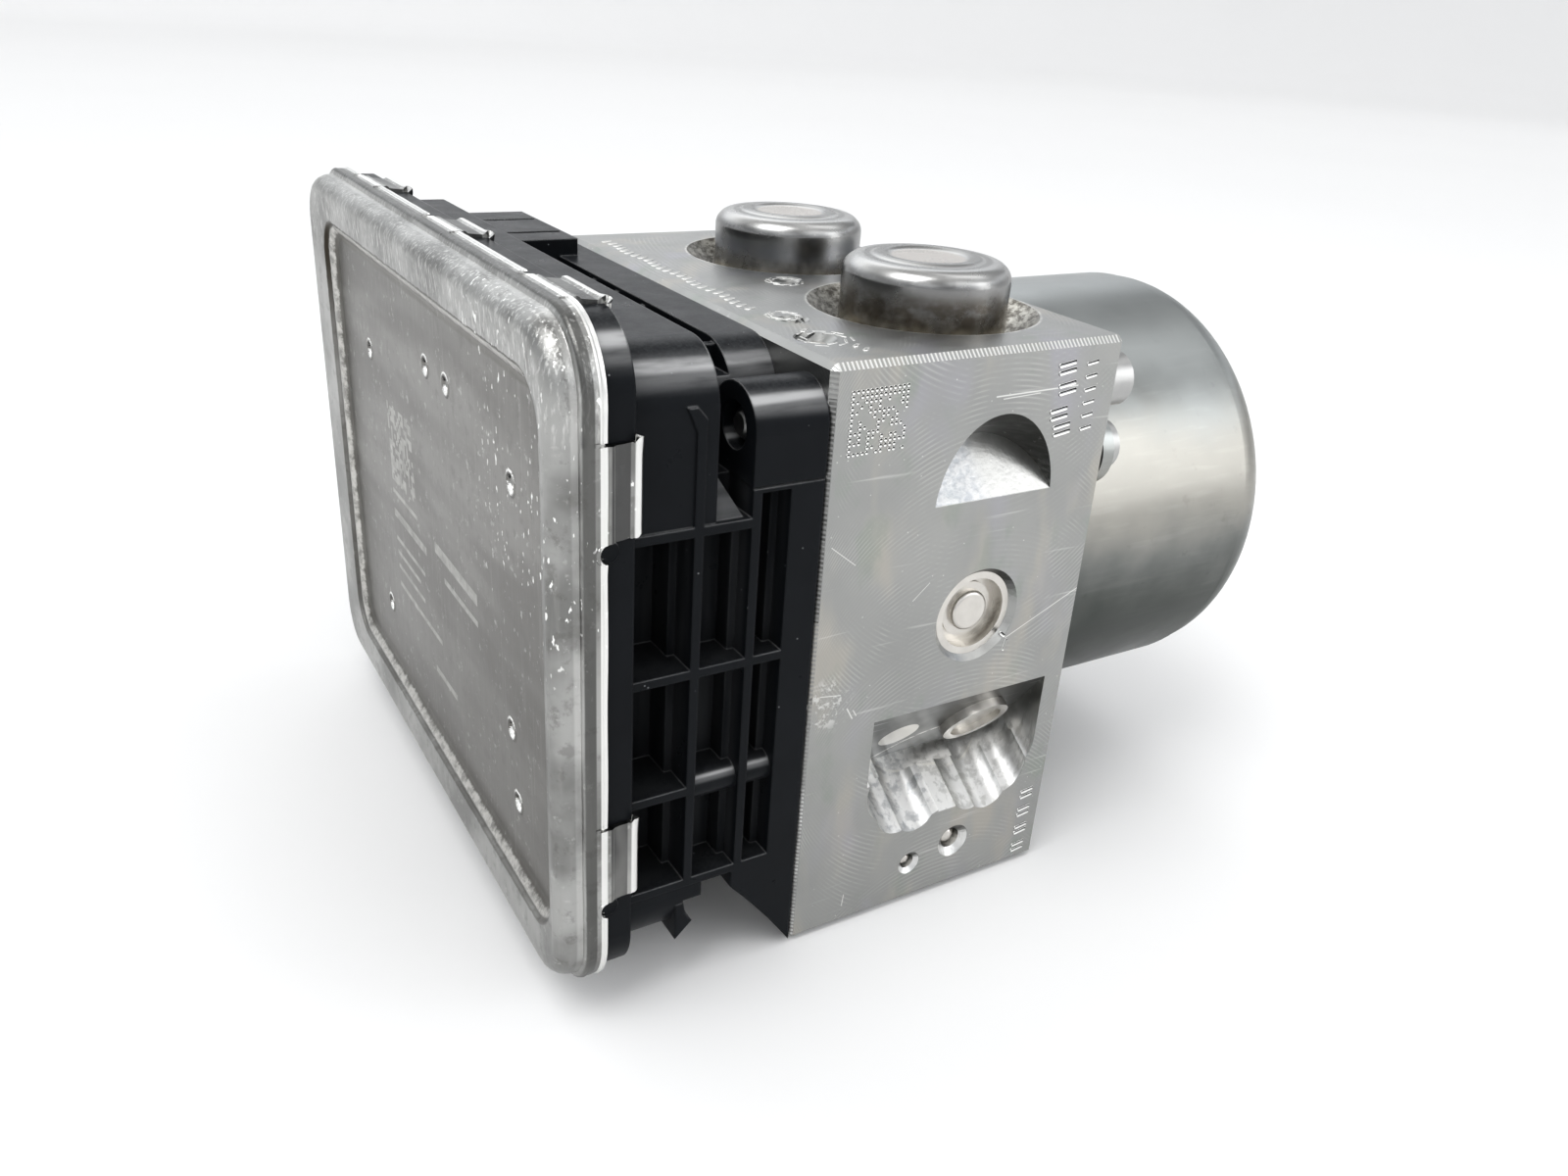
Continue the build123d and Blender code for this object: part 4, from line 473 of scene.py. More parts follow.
def panel_step(finish, z, edge, rub, front):
    """The worn step round the lid's panel, with painted shade along it, darkest along its top."""
    edge = finish.plus(edge, finish.times(finish.minus(rub, 0.5), 0.8 * MM))
    upper = finish.fit(z, 60 * MM, 78 * MM, 0.45, 1.0)
    # Painted shade along the step, strongest along the top where its wall faces down
    step_shade = finish.times(finish.band(edge, -0.35, 0.25, 0.15), upper, front)
    finish.recolor(step_shade, (0.045, 0.038, 0.028), 0.92)
    ridge = finish.times(finish.band(edge, -1.3, -0.7, 0.4), front)
    finish.recolor(finish.times(ridge, finish.fit(rub, 0.35, 0.6, 0.2, 0.8)), (0.66, 0.65, 0.62))
    # Painted shade at the foot of the slope, strongest along the top
    foot = finish.times(finish.band(edge, -2.6, -1.9, 0.5), front)
    finish.recolor(finish.times(foot, upper), (0.12, 0.115, 0.1), 0.6)


def lid_skirt(finish, x, cloud):
    """Painted light on the skirt and tabs: a painted dark reflection in a band beside the bead, painted
    highlights on the crease, the cut edge and the tabs' rolled ends, and painted dark reflections on the
    tabs' flat strips.
    """
    side = finish.above(finish.most(*finish.facing()[1:]), 0.75)
    # Painted dark reflection in a band beside the bead
    skirt = finish.times(finish.band(x, -53.4, -52.3, 0.2), finish.fit(cloud, 0.3, 0.6, 0.6, 1.0))
    finish.recolor(skirt, (0.09, 0.09, 0.086), 0.85)
    # Painted highlight along the crease
    crease = finish.times(finish.band(x, -54.3, -53.7, 0.3), finish.fit(cloud, 0.35, 0.6, 0.1, 0.5))
    finish.recolor(crease, (0.6, 0.6, 0.585))
    # Painted highlight on the cut edge
    finish.recolor(finish.band(x, -51.6, -50.9, 0.1), (0.92, 0.92, 0.9), 0.8)
    # Painted dark reflections on the tabs' flat strips
    strip = finish.times(finish.band(x, -50.35, -48.2, 0.15), side)
    shade = finish.fit(finish.noise(5 * MM, 2, finish.stretched((1, 0.3, 0.3))), 0.4, 0.6)
    finish.recolor(strip, finish.blend(shade, (0.085, 0.085, 0.085), (0.19, 0.19, 0.185)), 0.9)
    # Painted highlight on the tabs' rolled ends
    finish.recolor(finish.band(x, -47.6, -47.0, 0.2), (0.92, 0.92, 0.9), 0.8)


def lid_print(finish, y, z):
    """Where the lid is printed: a square of random cells and plain bars."""
    rows = [finish.math("FLOOR", finish.math("DIVIDE", value, PRINT_CELL * MM)) for value in (y, z)]
    cells = finish.add("ShaderNodeCombineXYZ", 0.0, *rows).outputs[0]
    random_cell = finish.add("ShaderNodeTexWhiteNoise", noise_dimensions="3D")
    finish.feed(random_cell.inputs["Vector"], cells)
    square = box_mask(finish, y, z, PRINT_SQUARE)
    marks = finish.times(finish.above(random_cell.outputs["Value"], 0.4), square)
    for bar in PRINT_BARS:
        marks = finish.most(marks, box_mask(finish, y, z, bar))
    return marks


def lid_finish():
    """Pressed aluminium sheet: brushed panel painted darker as a painted dark reflection, pale print,
    lighter rubbed rim, specks.
    """
    finish = Finish("pressed_aluminium", (0.62, 0.62, 0.61), 1.0, 0.34)
    x, y, z = finish.split(finish.place)
    brushed = finish.noise(0.7 * MM, 3, finish.stretched((1, 1, 0.05)))
    cloud = finish.noise(13 * MM, 4)
    rub = finish.noise(1.6 * MM, 5, roughness=0.7)
    edge = panel_distance(finish, y, z)
    front = finish.below(x, -54.6 * MM)
    panel = finish.times(finish.fit(edge, 0.0, -1.5 * MM), front)
    # The panel is painted darker than the rim as a painted dark reflection, and darker again towards its
    # bottom
    bands = finish.fit(finish.noise(16 * MM, 3, finish.stretched((1, 0.3, 1.6))), 0.38, 0.62)
    base = finish.blend(bands, (0.155, 0.15, 0.141), (0.24, 0.235, 0.224))
    base = finish.blend(finish.fit(z, 56 * MM, 36 * MM, 0, 0.45), base, (0.13, 0.125, 0.116))
    rim = finish.blend(finish.fit(cloud, 0.35, 0.65), (0.22, 0.22, 0.213), (0.42, 0.42, 0.41))
    finish.color(panel, rim, base)
    finish.recolor(finish.fit(brushed, 0.5, 0.8, 0, 0.3), (0.38, 0.375, 0.36))
    dull = finish.fit(finish.noise(2.4 * MM, 5, roughness=0.65), 0.52, 0.66)
    finish.recolor(dull, (0.14, 0.135, 0.128), 0.4)
    finish.recolor(finish.fit(rub, 0.58, 0.72, 0, 0.5), (0.55, 0.55, 0.535))
    panel_step(finish, z, edge, rub, front)
    # Hatched rub marks along the top rim, and bright specks near the panel's near edge
    hatch = finish.noise(0.45 * MM, 3, finish.stretched((1, 1, 0.22), (0.7, 0, 0)), 0.6)
    top_rim = finish.times(finish.fit(z, 76 * MM, 81 * MM), finish.fit(edge, 0.0, 1 * MM))
    finish.recolor(finish.times(finish.fit(hatch, 0.5, 0.68), top_rim), (0.74, 0.74, 0.72), 0.65)
    chips = finish.fit(finish.noise(0.8 * MM, 2, finish.stretched((1, 1, 0.5))), 0.66, 0.71)
    chip_area = finish.times(finish.fit(y, -6 * MM, -22 * MM), finish.fit(z, 44 * MM, 58 * MM))
    finish.recolor(finish.times(chips, chip_area), (0.95, 0.95, 0.93))
    lid_skirt(finish, x, cloud)
    # Punch marks: painted shade on their upper halves that face down, painted highlights on their lower
    # halves that face up
    slope = finish.true_normal()[2]
    floor = finish.times(finish.fit(edge, -3.5 * MM, -4 * MM), front)
    finish.recolor(finish.times(floor, finish.fit(slope, -0.12, -0.35, 0, 0.95)), (0.02, 0.02, 0.02))
    finish.recolor(finish.times(floor, finish.fit(slope, 0.12, 0.3)), (0.95, 0.95, 0.93))
    worn = finish.fit(finish.noise(2.2 * MM, 4), 0.35, 0.6, 0.3, 0.65)
    finish.recolor(finish.times(lid_print(finish, y, z), worn, panel), (0.5, 0.5, 0.475))
    finish.rough(finish.plus(finish.times(brushed, 0.5), finish.times(cloud, 0.5)), 0.24, 0.44)
    finish.bump(brushed, 3e-6)
    finish.bump(finish.times(rub, top_rim), 1e-4)
    finish.bump(finish.noise(7 * MM, 2), 5e-5)
    return finish


def plastic_finish(name="moulded_plastic", color=(0.0065, 0.0075, 0.009), roughness=0.3):
    """Moulded black plastic: fine grain, dust and painted sheen on what faces up, painted reflections
    deep between the ribs, and painted shine on rounded edges.
    """

    def lighter(grey, factor=1.5):
        return tuple(grey + factor * channel for channel in color)

    finish = Finish(name, color, 0.0, roughness, Specular_IOR_Level=0.12)
    finish.soften(0.4 * MM)
    finish.color(finish.noise(9 * MM, 4), color, lighter(0, 1.7))
    slope = finish.split(finish.normal)[2]
    grain = finish.noise(0.5 * MM, 4, roughness=0.7)
    # Dust on faces that face up, which also serves as a painted sheen there
    dust_and_sheen_on_top = finish.times(finish.fit(slope, 0.2, 0.95), finish.fit(grain, 0.35, 0.7, 0.25, 1.0))
    finish.recolor(dust_and_sheen_on_top, lighter(0.045, 2.5), 0.4)
    # Painted reflections as paler streaks deep between the near side's ribs
    y, z = finish.split(finish.place)[1:3]
    reflection_between_ribs = finish.times(finish.band(y, -38, -26, 1.5), finish.fit(z, 71 * MM, 68 * MM))
    uprights = finish.noise(2.6 * MM, 2, finish.stretched((1, 1, 0.1)))
    finish.recolor(finish.times(reflection_between_ribs, finish.fit(uprights, 0.4, 0.6, 0.35, 1.0)), lighter(0.02))
    # Painted streaky shine on rounded edges that face up, with a brighter painted glint line in it
    streaks = finish.noise(1.2 * MM, 4, finish.stretched((0.12, 0.12, 1)))
    streaks = finish.fit(streaks, 0.3, 0.6, 0.45, 1.0)
    shine = finish.times(finish.fit(slope, 0.3, 0.6), finish.fit(slope, 0.93, 0.72))
    finish.recolor(finish.times(shine, streaks), lighter(0.16), 0.8)
    glint = finish.times(finish.fit(slope, 0.6, 0.7), finish.fit(slope, 0.84, 0.76))
    finish.recolor(finish.times(glint, streaks), lighter(0.42), 0.9)
    finish.recolor(finish.specks(2.6 * MM, 0.03, 0.05), (0.35, 0.36, 0.37), 0.5)
    finish.rough(finish.noise(5 * MM, 5, roughness=0.65), roughness - 0.12, roughness + 0.16)
    finish.bump(finish.noise(0.12 * MM, 2), 4e-6)
    finish.bump(finish.noise(3 * MM, 2), 2e-5)
    return finish


def zinc_finish(name, dark, light, roughness):
    """Zinc-plated steel: mottled, with drawing streaks along the motor's axis."""
    finish = Finish(name, light, 1.0, roughness)
    cloud = finish.noise(8 * MM, 5, roughness=0.6)
    streak = finish.noise(1.2 * MM, 3, finish.stretched((0.12, 1, 1)))
    finish.color(cloud, dark, light)
    finish.recolor(finish.fit(streak, 0.5, 0.75, 0, 0.3), tuple(min(1, c * 1.25) for c in light))
    stain = finish.fit(finish.noise(2.5 * MM, 4), 0.62, 0.75)
    finish.recolor(stain, tuple(c * 0.6 for c in dark), 0.35)
    finish.rough(cloud, roughness - 0.06, roughness + 0.12)
    finish.bump(streak, 3e-6)
    finish.bump(finish.noise(0.4 * MM, 2), 2e-6)
    return finish


def cap_finish():
    """Drawn steel cups: painted highlight on the shoulder, brownish stain low on the side, pale middle on
    top.
    """
    finish = zinc_finish("zinc_caps", (0.2, 0.2, 0.2), (0.36, 0.36, 0.355), 0.24)
    x, y, z = finish.split(finish.place)
    blotch = finish.noise(3.0 * MM, 5, finish.stretched((1, 1, 1.6)), 0.6)
    low = finish.times(finish.fit(z, 87.0 * MM, 84.5 * MM), finish.fit(blotch, 0.32, 0.6, 0.35, 1.0))
    brown = finish.blend(finish.above(y, 0.0), (0.115, 0.1, 0.082), (0.25, 0.255, 0.27))
    finish.recolor(low, brown, 0.85)
    foot = finish.times(finish.fit(z, 82.6 * MM, 80.6 * MM), finish.fit(blotch, 0.35, 0.6, 0.4, 1.0))
    finish.recolor(foot, (0.5, 0.47, 0.4), 0.75)
    # Painted highlight on the upper shoulder
    finish.recolor(finish.fit(z, 87.4 * MM, 88.4 * MM, 0, 0.5), (0.62, 0.62, 0.61))
    for cup_y in CUP_YS.values():
        ring = spot_distance(finish, x, y, CUP_X, cup_y)
        dark = finish.times(finish.fit(ring, 8.9 * MM, 8.4 * MM), finish.fit(ring, 5.2 * MM, 5.7 * MM))
        finish.recolor(dark, (0.25, 0.25, 0.245), 0.8)
        groove = finish.times(finish.fit(ring, 7.9 * MM, 7.6 * MM), finish.fit(ring, 7.1 * MM, 7.4 * MM))
        finish.recolor(groove, (0.55, 0.55, 0.54), 0.6)
        finish.recolor(finish.fit(ring, 5.3 * MM, 4.7 * MM, 0, 0.85), (0.66, 0.62, 0.58))
    return finish


def motor_finish():
    """Drawn, plated can: mottled, with painted light: a paler, warm band in the middle, a lighter top and
    a dark, greenish painted reflection low down.
    """
    finish = zinc_finish("zinc_motor", (0.22, 0.23, 0.225), (0.33, 0.335, 0.325), 0.3)
    outputs = finish.split(finish.place)
    x, z = outputs[0], outputs[2]
    level = finish.plus(z, finish.times(finish.minus(finish.noise(16 * MM, 3), 0.5), 14 * MM))
    # Painted dark reflection low on the can, fading out on its end face
    low = finish.times(finish.fit(level, 58 * MM, 30 * MM), finish.fit(x, 72 * MM, 62 * MM, 0.35, 0.93))
    finish.recolor(low, (0.03, 0.036, 0.031))
    # Painted paler, warm band in the middle, standing in for a brighter reflection
    warm = finish.times(finish.fit(level, 44 * MM, 54 * MM), finish.fit(level, 70 * MM, 60 * MM))
    finish.recolor(warm, (0.42, 0.39, 0.34), 0.4)
    # Painted lighter top
    finish.recolor(finish.fit(level, 62 * MM, 74 * MM, 0, 0.75), (0.42, 0.44, 0.44))
    return finish


finishes = {
    "block_aluminium": block_finish(),
    "lid_aluminium": lid_finish(),
    "bright_aluminium": plain_metal("bright_aluminium", (0.7, 0.7, 0.69), (0.86, 0.86, 0.84), 0.22),
    "housing_plastic": plastic_finish(),
    "holder_plastic": plastic_finish("holder_plastic", (0.05, 0.045, 0.04), 0.5),
    "motor_steel": motor_finish(),
    "cap_steel": cap_finish(),
    "plug_steel": plain_metal("plug_steel", (0.55, 0.53, 0.5), (0.72, 0.7, 0.66), 0.3, 0.002),
    "screw_steel": plain_metal("screw_steel", (0.36, 0.36, 0.36), (0.5, 0.5, 0.49), 0.36, 0.002),
    "bright_steel": plain_metal("bright_steel", (0.6, 0.6, 0.6), (0.75, 0.75, 0.75), 0.2),
    "spring_steel": plain_metal("spring_steel", (0.35, 0.34, 0.33), (0.5, 0.49, 0.47), 0.35),
    "core_steel": plain_metal("core_steel", (0.2, 0.2, 0.21), (0.33, 0.33, 0.34), 0.45),
    "seal_rubber": plastic_finish("seal_rubber", (0.02, 0.02, 0.02), 0.7),
    "board_green": plastic_finish("board_green", (0.01, 0.09, 0.035), 0.4),
    "pin_brass": plain_metal("pin_brass", (0.6, 0.42, 0.16), (0.75, 0.56, 0.25), 0.25, 0.002),
    "winding_copper": plain_metal(
        "winding_copper", (0.45, 0.17, 0.07), (0.65, 0.28, 0.13), 0.35, 0.001
    ),
    "magnet_ferrite": plain_metal(
        "magnet_ferrite", (0.05, 0.05, 0.055), (0.09, 0.09, 0.095), 0.6, 0.002, 0.2
    ),
    "brush_carbon": plain_metal("brush_carbon", (0.04, 0.04, 0.04), (0.08, 0.08, 0.08), 0.5, 0.001, 0.3),
}
slots = {part["node"]: part["material_slot"] for part in frame["record"]["subparts"]}


def crisp(obj, angle=28):
    """Shade flat faces flat and keep sharp edges sharp."""
    split = obj.modifiers.new("crisp_edges", "EDGE_SPLIT")
    split.split_angle = radians(angle)
    obj.modifiers.new("even_shading", "WEIGHTED_NORMAL")


for name, node in nodes.items():
    node.data.materials.clear()
    node.data.materials.append(finishes[slots[name]].material)
    crisp(node)


def show(name, mesh):
    """Put a mesh in the scene."""
    piece = bpy.data.objects.new(name, mesh)
    bpy.context.scene.collection.objects.link(piece)
    return piece


class Shape:
    """Vertices and faces gathered for one piece, in millimetres."""

    def __init__(self):
        self.verts = []
        self.faces = []

    def sheet(self, rows, outward, closed=False):
        """Quads between rows of points, turned so that most of them face outward."""
        base = len(self.verts)
        width = len(rows[0])
        self.verts += [point for row in rows for point in row]
        quads = []
        for i in range(len(rows) - 1):
            for j in range(width if closed else width - 1):
                k = (j + 1) % width
                here, there = base + i * width, base + (i + 1) * width
                quads.append((here + j, here + k, there + k, there + j))
        total = Vector((0, 0, 0))
        for quad in quads:
            a, b, c, d = (Vector(self.verts[index]) for index in quad)
            total += (c - a).cross(d - b)
        if total.dot(Vector(outward)) < 0:
            quads = [quad[::-1] for quad in quads]
        self.faces += quads

    def piece(self, name, slot, *replaced, finish=None):
        mesh = bpy.data.meshes.new(name)
        mesh.from_pydata([[c * MM for c in vert] for vert in self.verts], [], self.faces)
        mesh.shade_smooth()
        mesh.materials.append((finish or finishes[slot]).material)
        obj = show(name, mesh)
        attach(obj, "module")
        if replaced:
            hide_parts(*replaced)
        return obj


def stops(low, high, tabs, notch_side):
    """Fractions along a straight side: an even run, and more points at each tab's slit and notch."""
    start, end = low + LID_CORNER, high - LID_CORNER
    marks = {start + (end - start) * i / SIDE_STEPS for i in range(1, SIDE_STEPS)}
    for tab in tabs:
        notch = tab + notch_side * (TAB_HALF + NOTCH)
        slit = tab - notch_side * TAB_HALF
        marks |= {notch + NOTCH * cos(pi * i / NOTCH_STEPS) for i in range(NOTCH_STEPS + 1)}
        marks |= {slit, slit - notch_side * 0.02, slit - notch_side * 0.4, slit - notch_side * 0.42}
    return [(mark - start) / (end - start) for mark in sorted(marks) if start < mark < end]


near_stops = stops(*LID_Z, SIDE_TABS, -1)
edge_stops = stops(*LID_Y, EDGE_TABS, 1)


def loop(y, z, corner):
    """Points round a rounded rectangle in Y and Z, each with its side's name."""
    y0, y1, z0, z1 = y[0] + corner, y[1] - corner, z[0] + corner, z[1] - corner

    def bend(cy, cz, first):
        angles = [radians(first - 90 * i / CORNER_STEPS) for i in range(CORNER_STEPS + 1)]
        return [(cy + corner * cos(a), cz + corner * sin(a), "corner") for a in angles]

    return [
        *[(y[0], z0 + (z1 - z0) * t, "near") for t in near_stops], *bend(y0, z1, 180),
        *[(y0 + (y1 - y0) * t, z[1], "top") for t in edge_stops], *bend(y1, z1, 90),
        *[(y[1], z0 + (z1 - z0) * t, "far") for t in reversed(near_stops)], *bend(y1, z0, 0),
        *[(y0 + (y1 - y0) * t, z[0], "low") for t in reversed(edge_stops)], *bend(y0, z0, 270),
    ]


def skirt_edge(y, z, side):
    """How far out the skirt's back edge lies, with a round notch and a slit beside each tab."""
    if side == "corner":
        return SKIRT_BACK
    along, tabs, notch_side = (z, SIDE_TABS, -1) if side in ("near", "far") else (y, EDGE_TABS, 1)
    for tab in tabs:
        off = along - (tab + notch_side * (TAB_HALF + NOTCH))
        if abs(off) < NOTCH:
            return SKIRT_BACK + NOTCH_DEPTH * sqrt(NOTCH ** 2 - off ** 2)
        off = -notch_side * (along - tab) - TAB_HALF
        if 0.01 < off < 0.41:
            return SKIRT_BACK + SLIT_DEPTH
    return SKIRT_BACK + 0.04 * sin(along * 3.1)


def grown(limits, amount):
    """A pair of limits moved outward by a distance."""
    return (limits[0] - amount, limits[1] + amount)


def lid_loop(inset):
    """The lid's outline, drawn in by a distance."""
    return loop(grown(LID_Y, -inset), grown(LID_Z, -inset), LID_CORNER - inset)


# The lid: rings from the skirt's back edge over the bead to the sunk panel
lid = Shape()
rings = []
# The cut edge is pressed into a thin bead, which the lid's finish paints with a highlight: distance in
# from the outline and past the edge
for inset, past in ((0.2, 0.0), (0.04, 0.1), (0.0, 0.3), (0.04, 0.52), (0.17, 0.62), (0.17, 0.8)):
    rings.append([(BLOCK_FACE - skirt_edge(y, z, side) - past, y, z) for y, z, side in lid_loop(inset)])
# Skirt, crease and bead: distance in from the outline, and distance out from the block
bead = [
    (0.16, 29.45), (0.16, 30.2), (0.1, 30.45), (0.12, 30.62), (0.25, 30.85), (0.5, 31.05),
    (0.8, 31.16), (0.97, 31.22), (1.02, 31.35), (1.02, 31.6), (1.08, 32.1), (1.22, 32.6),
    (1.48, 33.15), (1.85, 33.6), (2.3, 33.95), (2.8, 34.15), (3.2, 34.2), (3.6, 34.17),
]
for inset, depth in bead:
    wave = 0.05 if 0.2 < inset < 0.7 else 0.0
    ring = []
    for i, (y, z, side) in enumerate(lid_loop(inset)):
        ring.append((BLOCK_FACE - depth - wave * sin(i * 0.9) * sin(i * 0.31), y, z))
    rings.append(ring)
# Border of the sunk panel: a sharp little drop, then a soft slope
border = [
    (0.75, 34.02), (0.35, 34.04), (0.1, 33.98), (0.0, 33.85), (-0.1, 33.6), (-0.28, 33.48),
    (-0.6, 33.42), (-1.0, 33.2), (-1.4, 32.88), (-1.75, 32.62), (-2.1, 32.5), (-2.5, 32.455),
    (-3.0, 32.43),
]
for amount, depth in border:
    ring = loop(grown(PANEL_Y, amount), grown(PANEL_Z, amount), PANEL_CORNER + amount)
    rings.append([(BLOCK_FACE - depth, y, z) for y, z, side in ring])
lid.sheet(rings, (-1, 0, 0), closed=True)

# The panel's floor, with round punch marks given by their middles along Y and Z
PUNCH_MARKS = (
    (38.15, 66.9), (7.85, 72.4), (-0.85, 72.3), (-24.55, 67.6), (-23.25, 23.1), (37.45, 24.3),
    (-21.65, 33.3),
)
PUNCH_R = 1.05
PUNCH_DEPTH = 0.85
FLOOR_INSET = 2.1
FLOOR_STEPS = 60


def grid_lines(limits, middles):
    """An even run of lines between two limits, and closer ones at each punch mark."""
    width = limits[1] - limits[0]
    lines = {limits[0] + width * i / FLOOR_STEPS for i in range(FLOOR_STEPS + 1)}
    for middle in middles:
        lines |= {middle + 1.8 * PUNCH_R * i / 9 for i in range(-9, 10)}
    kept = []
    for line in sorted(lines):
        if not kept or line - kept[-1] > 0.08:
            kept.append(line)
    return kept


def in_panel(y, z):
    """Whether a point lies on the panel's floor or just under its sloped border."""
    corner = PANEL_CORNER - FLOOR_INSET
    dy = max(PANEL_Y[0] + PANEL_CORNER - y, 0, y - (PANEL_Y[1] - PANEL_CORNER))
    dz = max(PANEL_Z[0] + PANEL_CORNER - z, 0, z - (PANEL_Z[1] - PANEL_CORNER))
    return dy * dy + dz * dz < corner * corner


floor_y = grid_lines(grown(PANEL_Y, -FLOOR_INSET), [mark[0] for mark in PUNCH_MARKS])
floor_z = grid_lines(grown(PANEL_Z, -FLOOR_INSET), [mark[1] for mark in PUNCH_MARKS])
start = len(lid.verts)
for y in floor_y:
    for z in floor_z:
        sink = 0.05 * sin(y * 0.11) * sin(z * 0.13 + 1)
        for my, mz in PUNCH_MARKS:
            r = sqrt((y - my) ** 2 + (z - mz) ** 2) / PUNCH_R
            if r < 1:
                sink += PUNCH_DEPTH * min(1, 1.5 * (1 - r ** 2.2))
            elif r < 1.6:
                sink -= 0.1 * sin(pi * (r - 1) / 0.6)
        lid.verts.append((BLOCK_FACE - PANEL_FRONT + sink, y, z))
rows = len(floor_z)
for i in range(len(floor_y) - 1):
    for j in range(rows - 1):
        if in_panel((floor_y[i] + floor_y[i + 1]) / 2, (floor_z[j] + floor_z[j + 1]) / 2):
            a = start + i * rows + j
            lid.faces.append((a, a + 1, a + rows + 1, a + rows))

# Crimped tabs: a step in, a flat strip, and a rolled end bent in behind the flange. Each row is
# a distance in from the outline and a distance out from the block
TAB_ROWS = (
    (0.17, 29.4), (0.12, 29.0), (0.02, 28.75), (0.02, 28.5), (0.14, 28.3), (0.1, 28.1),
    (0.06, 27.85), (0.16, 27.6), (0.34, 27.45), (0.42, 27.1), (0.5, 26.4), (0.58, 25.7),
    (0.56, 25.45), (0.4, 25.25), (0.3, 25.0), (0.32, 24.75), (0.46, 24.45), (0.7, 24.2),
    (1.05, 24.04), (1.5, 24.0), (2.0, 24.02), (2.5, 24.1),
)
TAB_COLUMNS = 12


def tab(side, middle):
    """One tab. Its slit end curls out a little at the back, its notch end is rounded off."""
    notch_side = -1 if side in ("near", "far") else 1
    sheet_rows = []
    for inset, depth in TAB_ROWS:
        back = max(0, (25.3 - depth) / 1.3) + max(0, inset - 0.8)
        notch_end = TAB_HALF - 0.35 * back - 0.12 * max(0, 28.3 - depth) ** 0.5
        rolled = depth < 25.2 and inset < 1.0
        slit_end = TAB_HALF - 0.05 + (0.6 if rolled else 0) - max(0, inset - 1.0) * 0.5
        row = []
        for column in range(TAB_COLUMNS + 1):
            share = column / TAB_COLUMNS
            along = middle - notch_side * (slit_end - share * (slit_end + notch_end))
            curl = 0.3 * max(0, 1 - share * 5) if rolled else 0
            at_end = column in (0, TAB_COLUMNS) and depth < 26
            ragged = 0.1 * dice.uniform(-1, 1) if at_end else 0
            deep = max(0, inset - curl)
            x = BLOCK_FACE - max(24.0, depth)
            row.append({
                "near": (x, LID_Y[0] + deep, along + ragged),
                "far": (x, LID_Y[1] - deep, along + ragged),
                "top": (x, along + ragged, LID_Z[1] - deep),
                "low": (x, along + ragged, LID_Z[0] + deep),
            }[side])
        sheet_rows.append(row)
    outward = {"near": (0, -1, 0), "far": (0, 1, 0), "top": (0, 0, 1), "low": (0, 0, -1)}[side]
    lid.sheet(sheet_rows, outward)


for side, middles in (("near", SIDE_TABS), ("far", SIDE_TABS), ("top", EDGE_TABS), ("low", EDGE_TABS)):
    for middle in middles:
        tab(side, middle)
lid_sheet = lid.piece("lid_sheet", "lid_aluminium", "ecu_lid")
thick = lid_sheet.modifiers.new("sheet", "SOLIDIFY")
thick.thickness = SHEET * MM
thick.offset = -1
crisp(lid_sheet, 40)

# Rough round stubs of the housing that show in the notches below the side tabs, as rows of a
# radius and a height off the housing's wall
STUB_WALLS = (("near", -41.6, -1), ("far", 66.2, 1))
STUB_ROWS = ((1.3, 0.0), (1.28, 0.3), (1.15, 0.42), (0.95, 0.3), (0.5, 0.26), (0.02, 0.25))
STUB_X = BLOCK_FACE - 28.0
STUB_POINTS = 24
for side_name, wall_y, out_y in STUB_WALLS:
    for middle in SIDE_TABS:
        stub = Shape()
        stub_rows = []
        stub_z = middle - TAB_HALF - NOTCH
        for r, height in STUB_ROWS:
            ring = []
            for i in range(STUB_POINTS):
                a = 2 * pi * i / STUB_POINTS
                bump = dice.uniform(-0.03, 0.03) if 0.1 < r < 1.2 else 0
                stub_y = wall_y + out_y * (height + bump)
                ring.append((STUB_X + r * cos(a), stub_y, stub_z + r * sin(a)))
            stub_rows.append(ring)
        stub.sheet(stub_rows, (0, out_y, 0), closed=True)
        stub.piece(f"stub_{side_name}_{SIDE_TABS.index(middle)}", "housing_plastic")


def turned(name, profile, count):
    """A mesh turned about the vertical axis from (radius, height) points."""
    angles = [2 * pi * i / count for i in range(count)]
    verts = [(r * cos(a), r * sin(a), z) for a in angles for r, z in profile]
    rows = len(profile)
    faces = []
    for i in range(count):
        for j in range(rows - 1):
            here, there = i * rows + j, (i + 1) % count * rows + j
            faces.append((here, here + 1, there + 1, there))
    mesh = bpy.data.meshes.new(name)
    mesh.from_pydata(verts, [], faces)
    mesh.shade_smooth()
    return show(name, mesh)


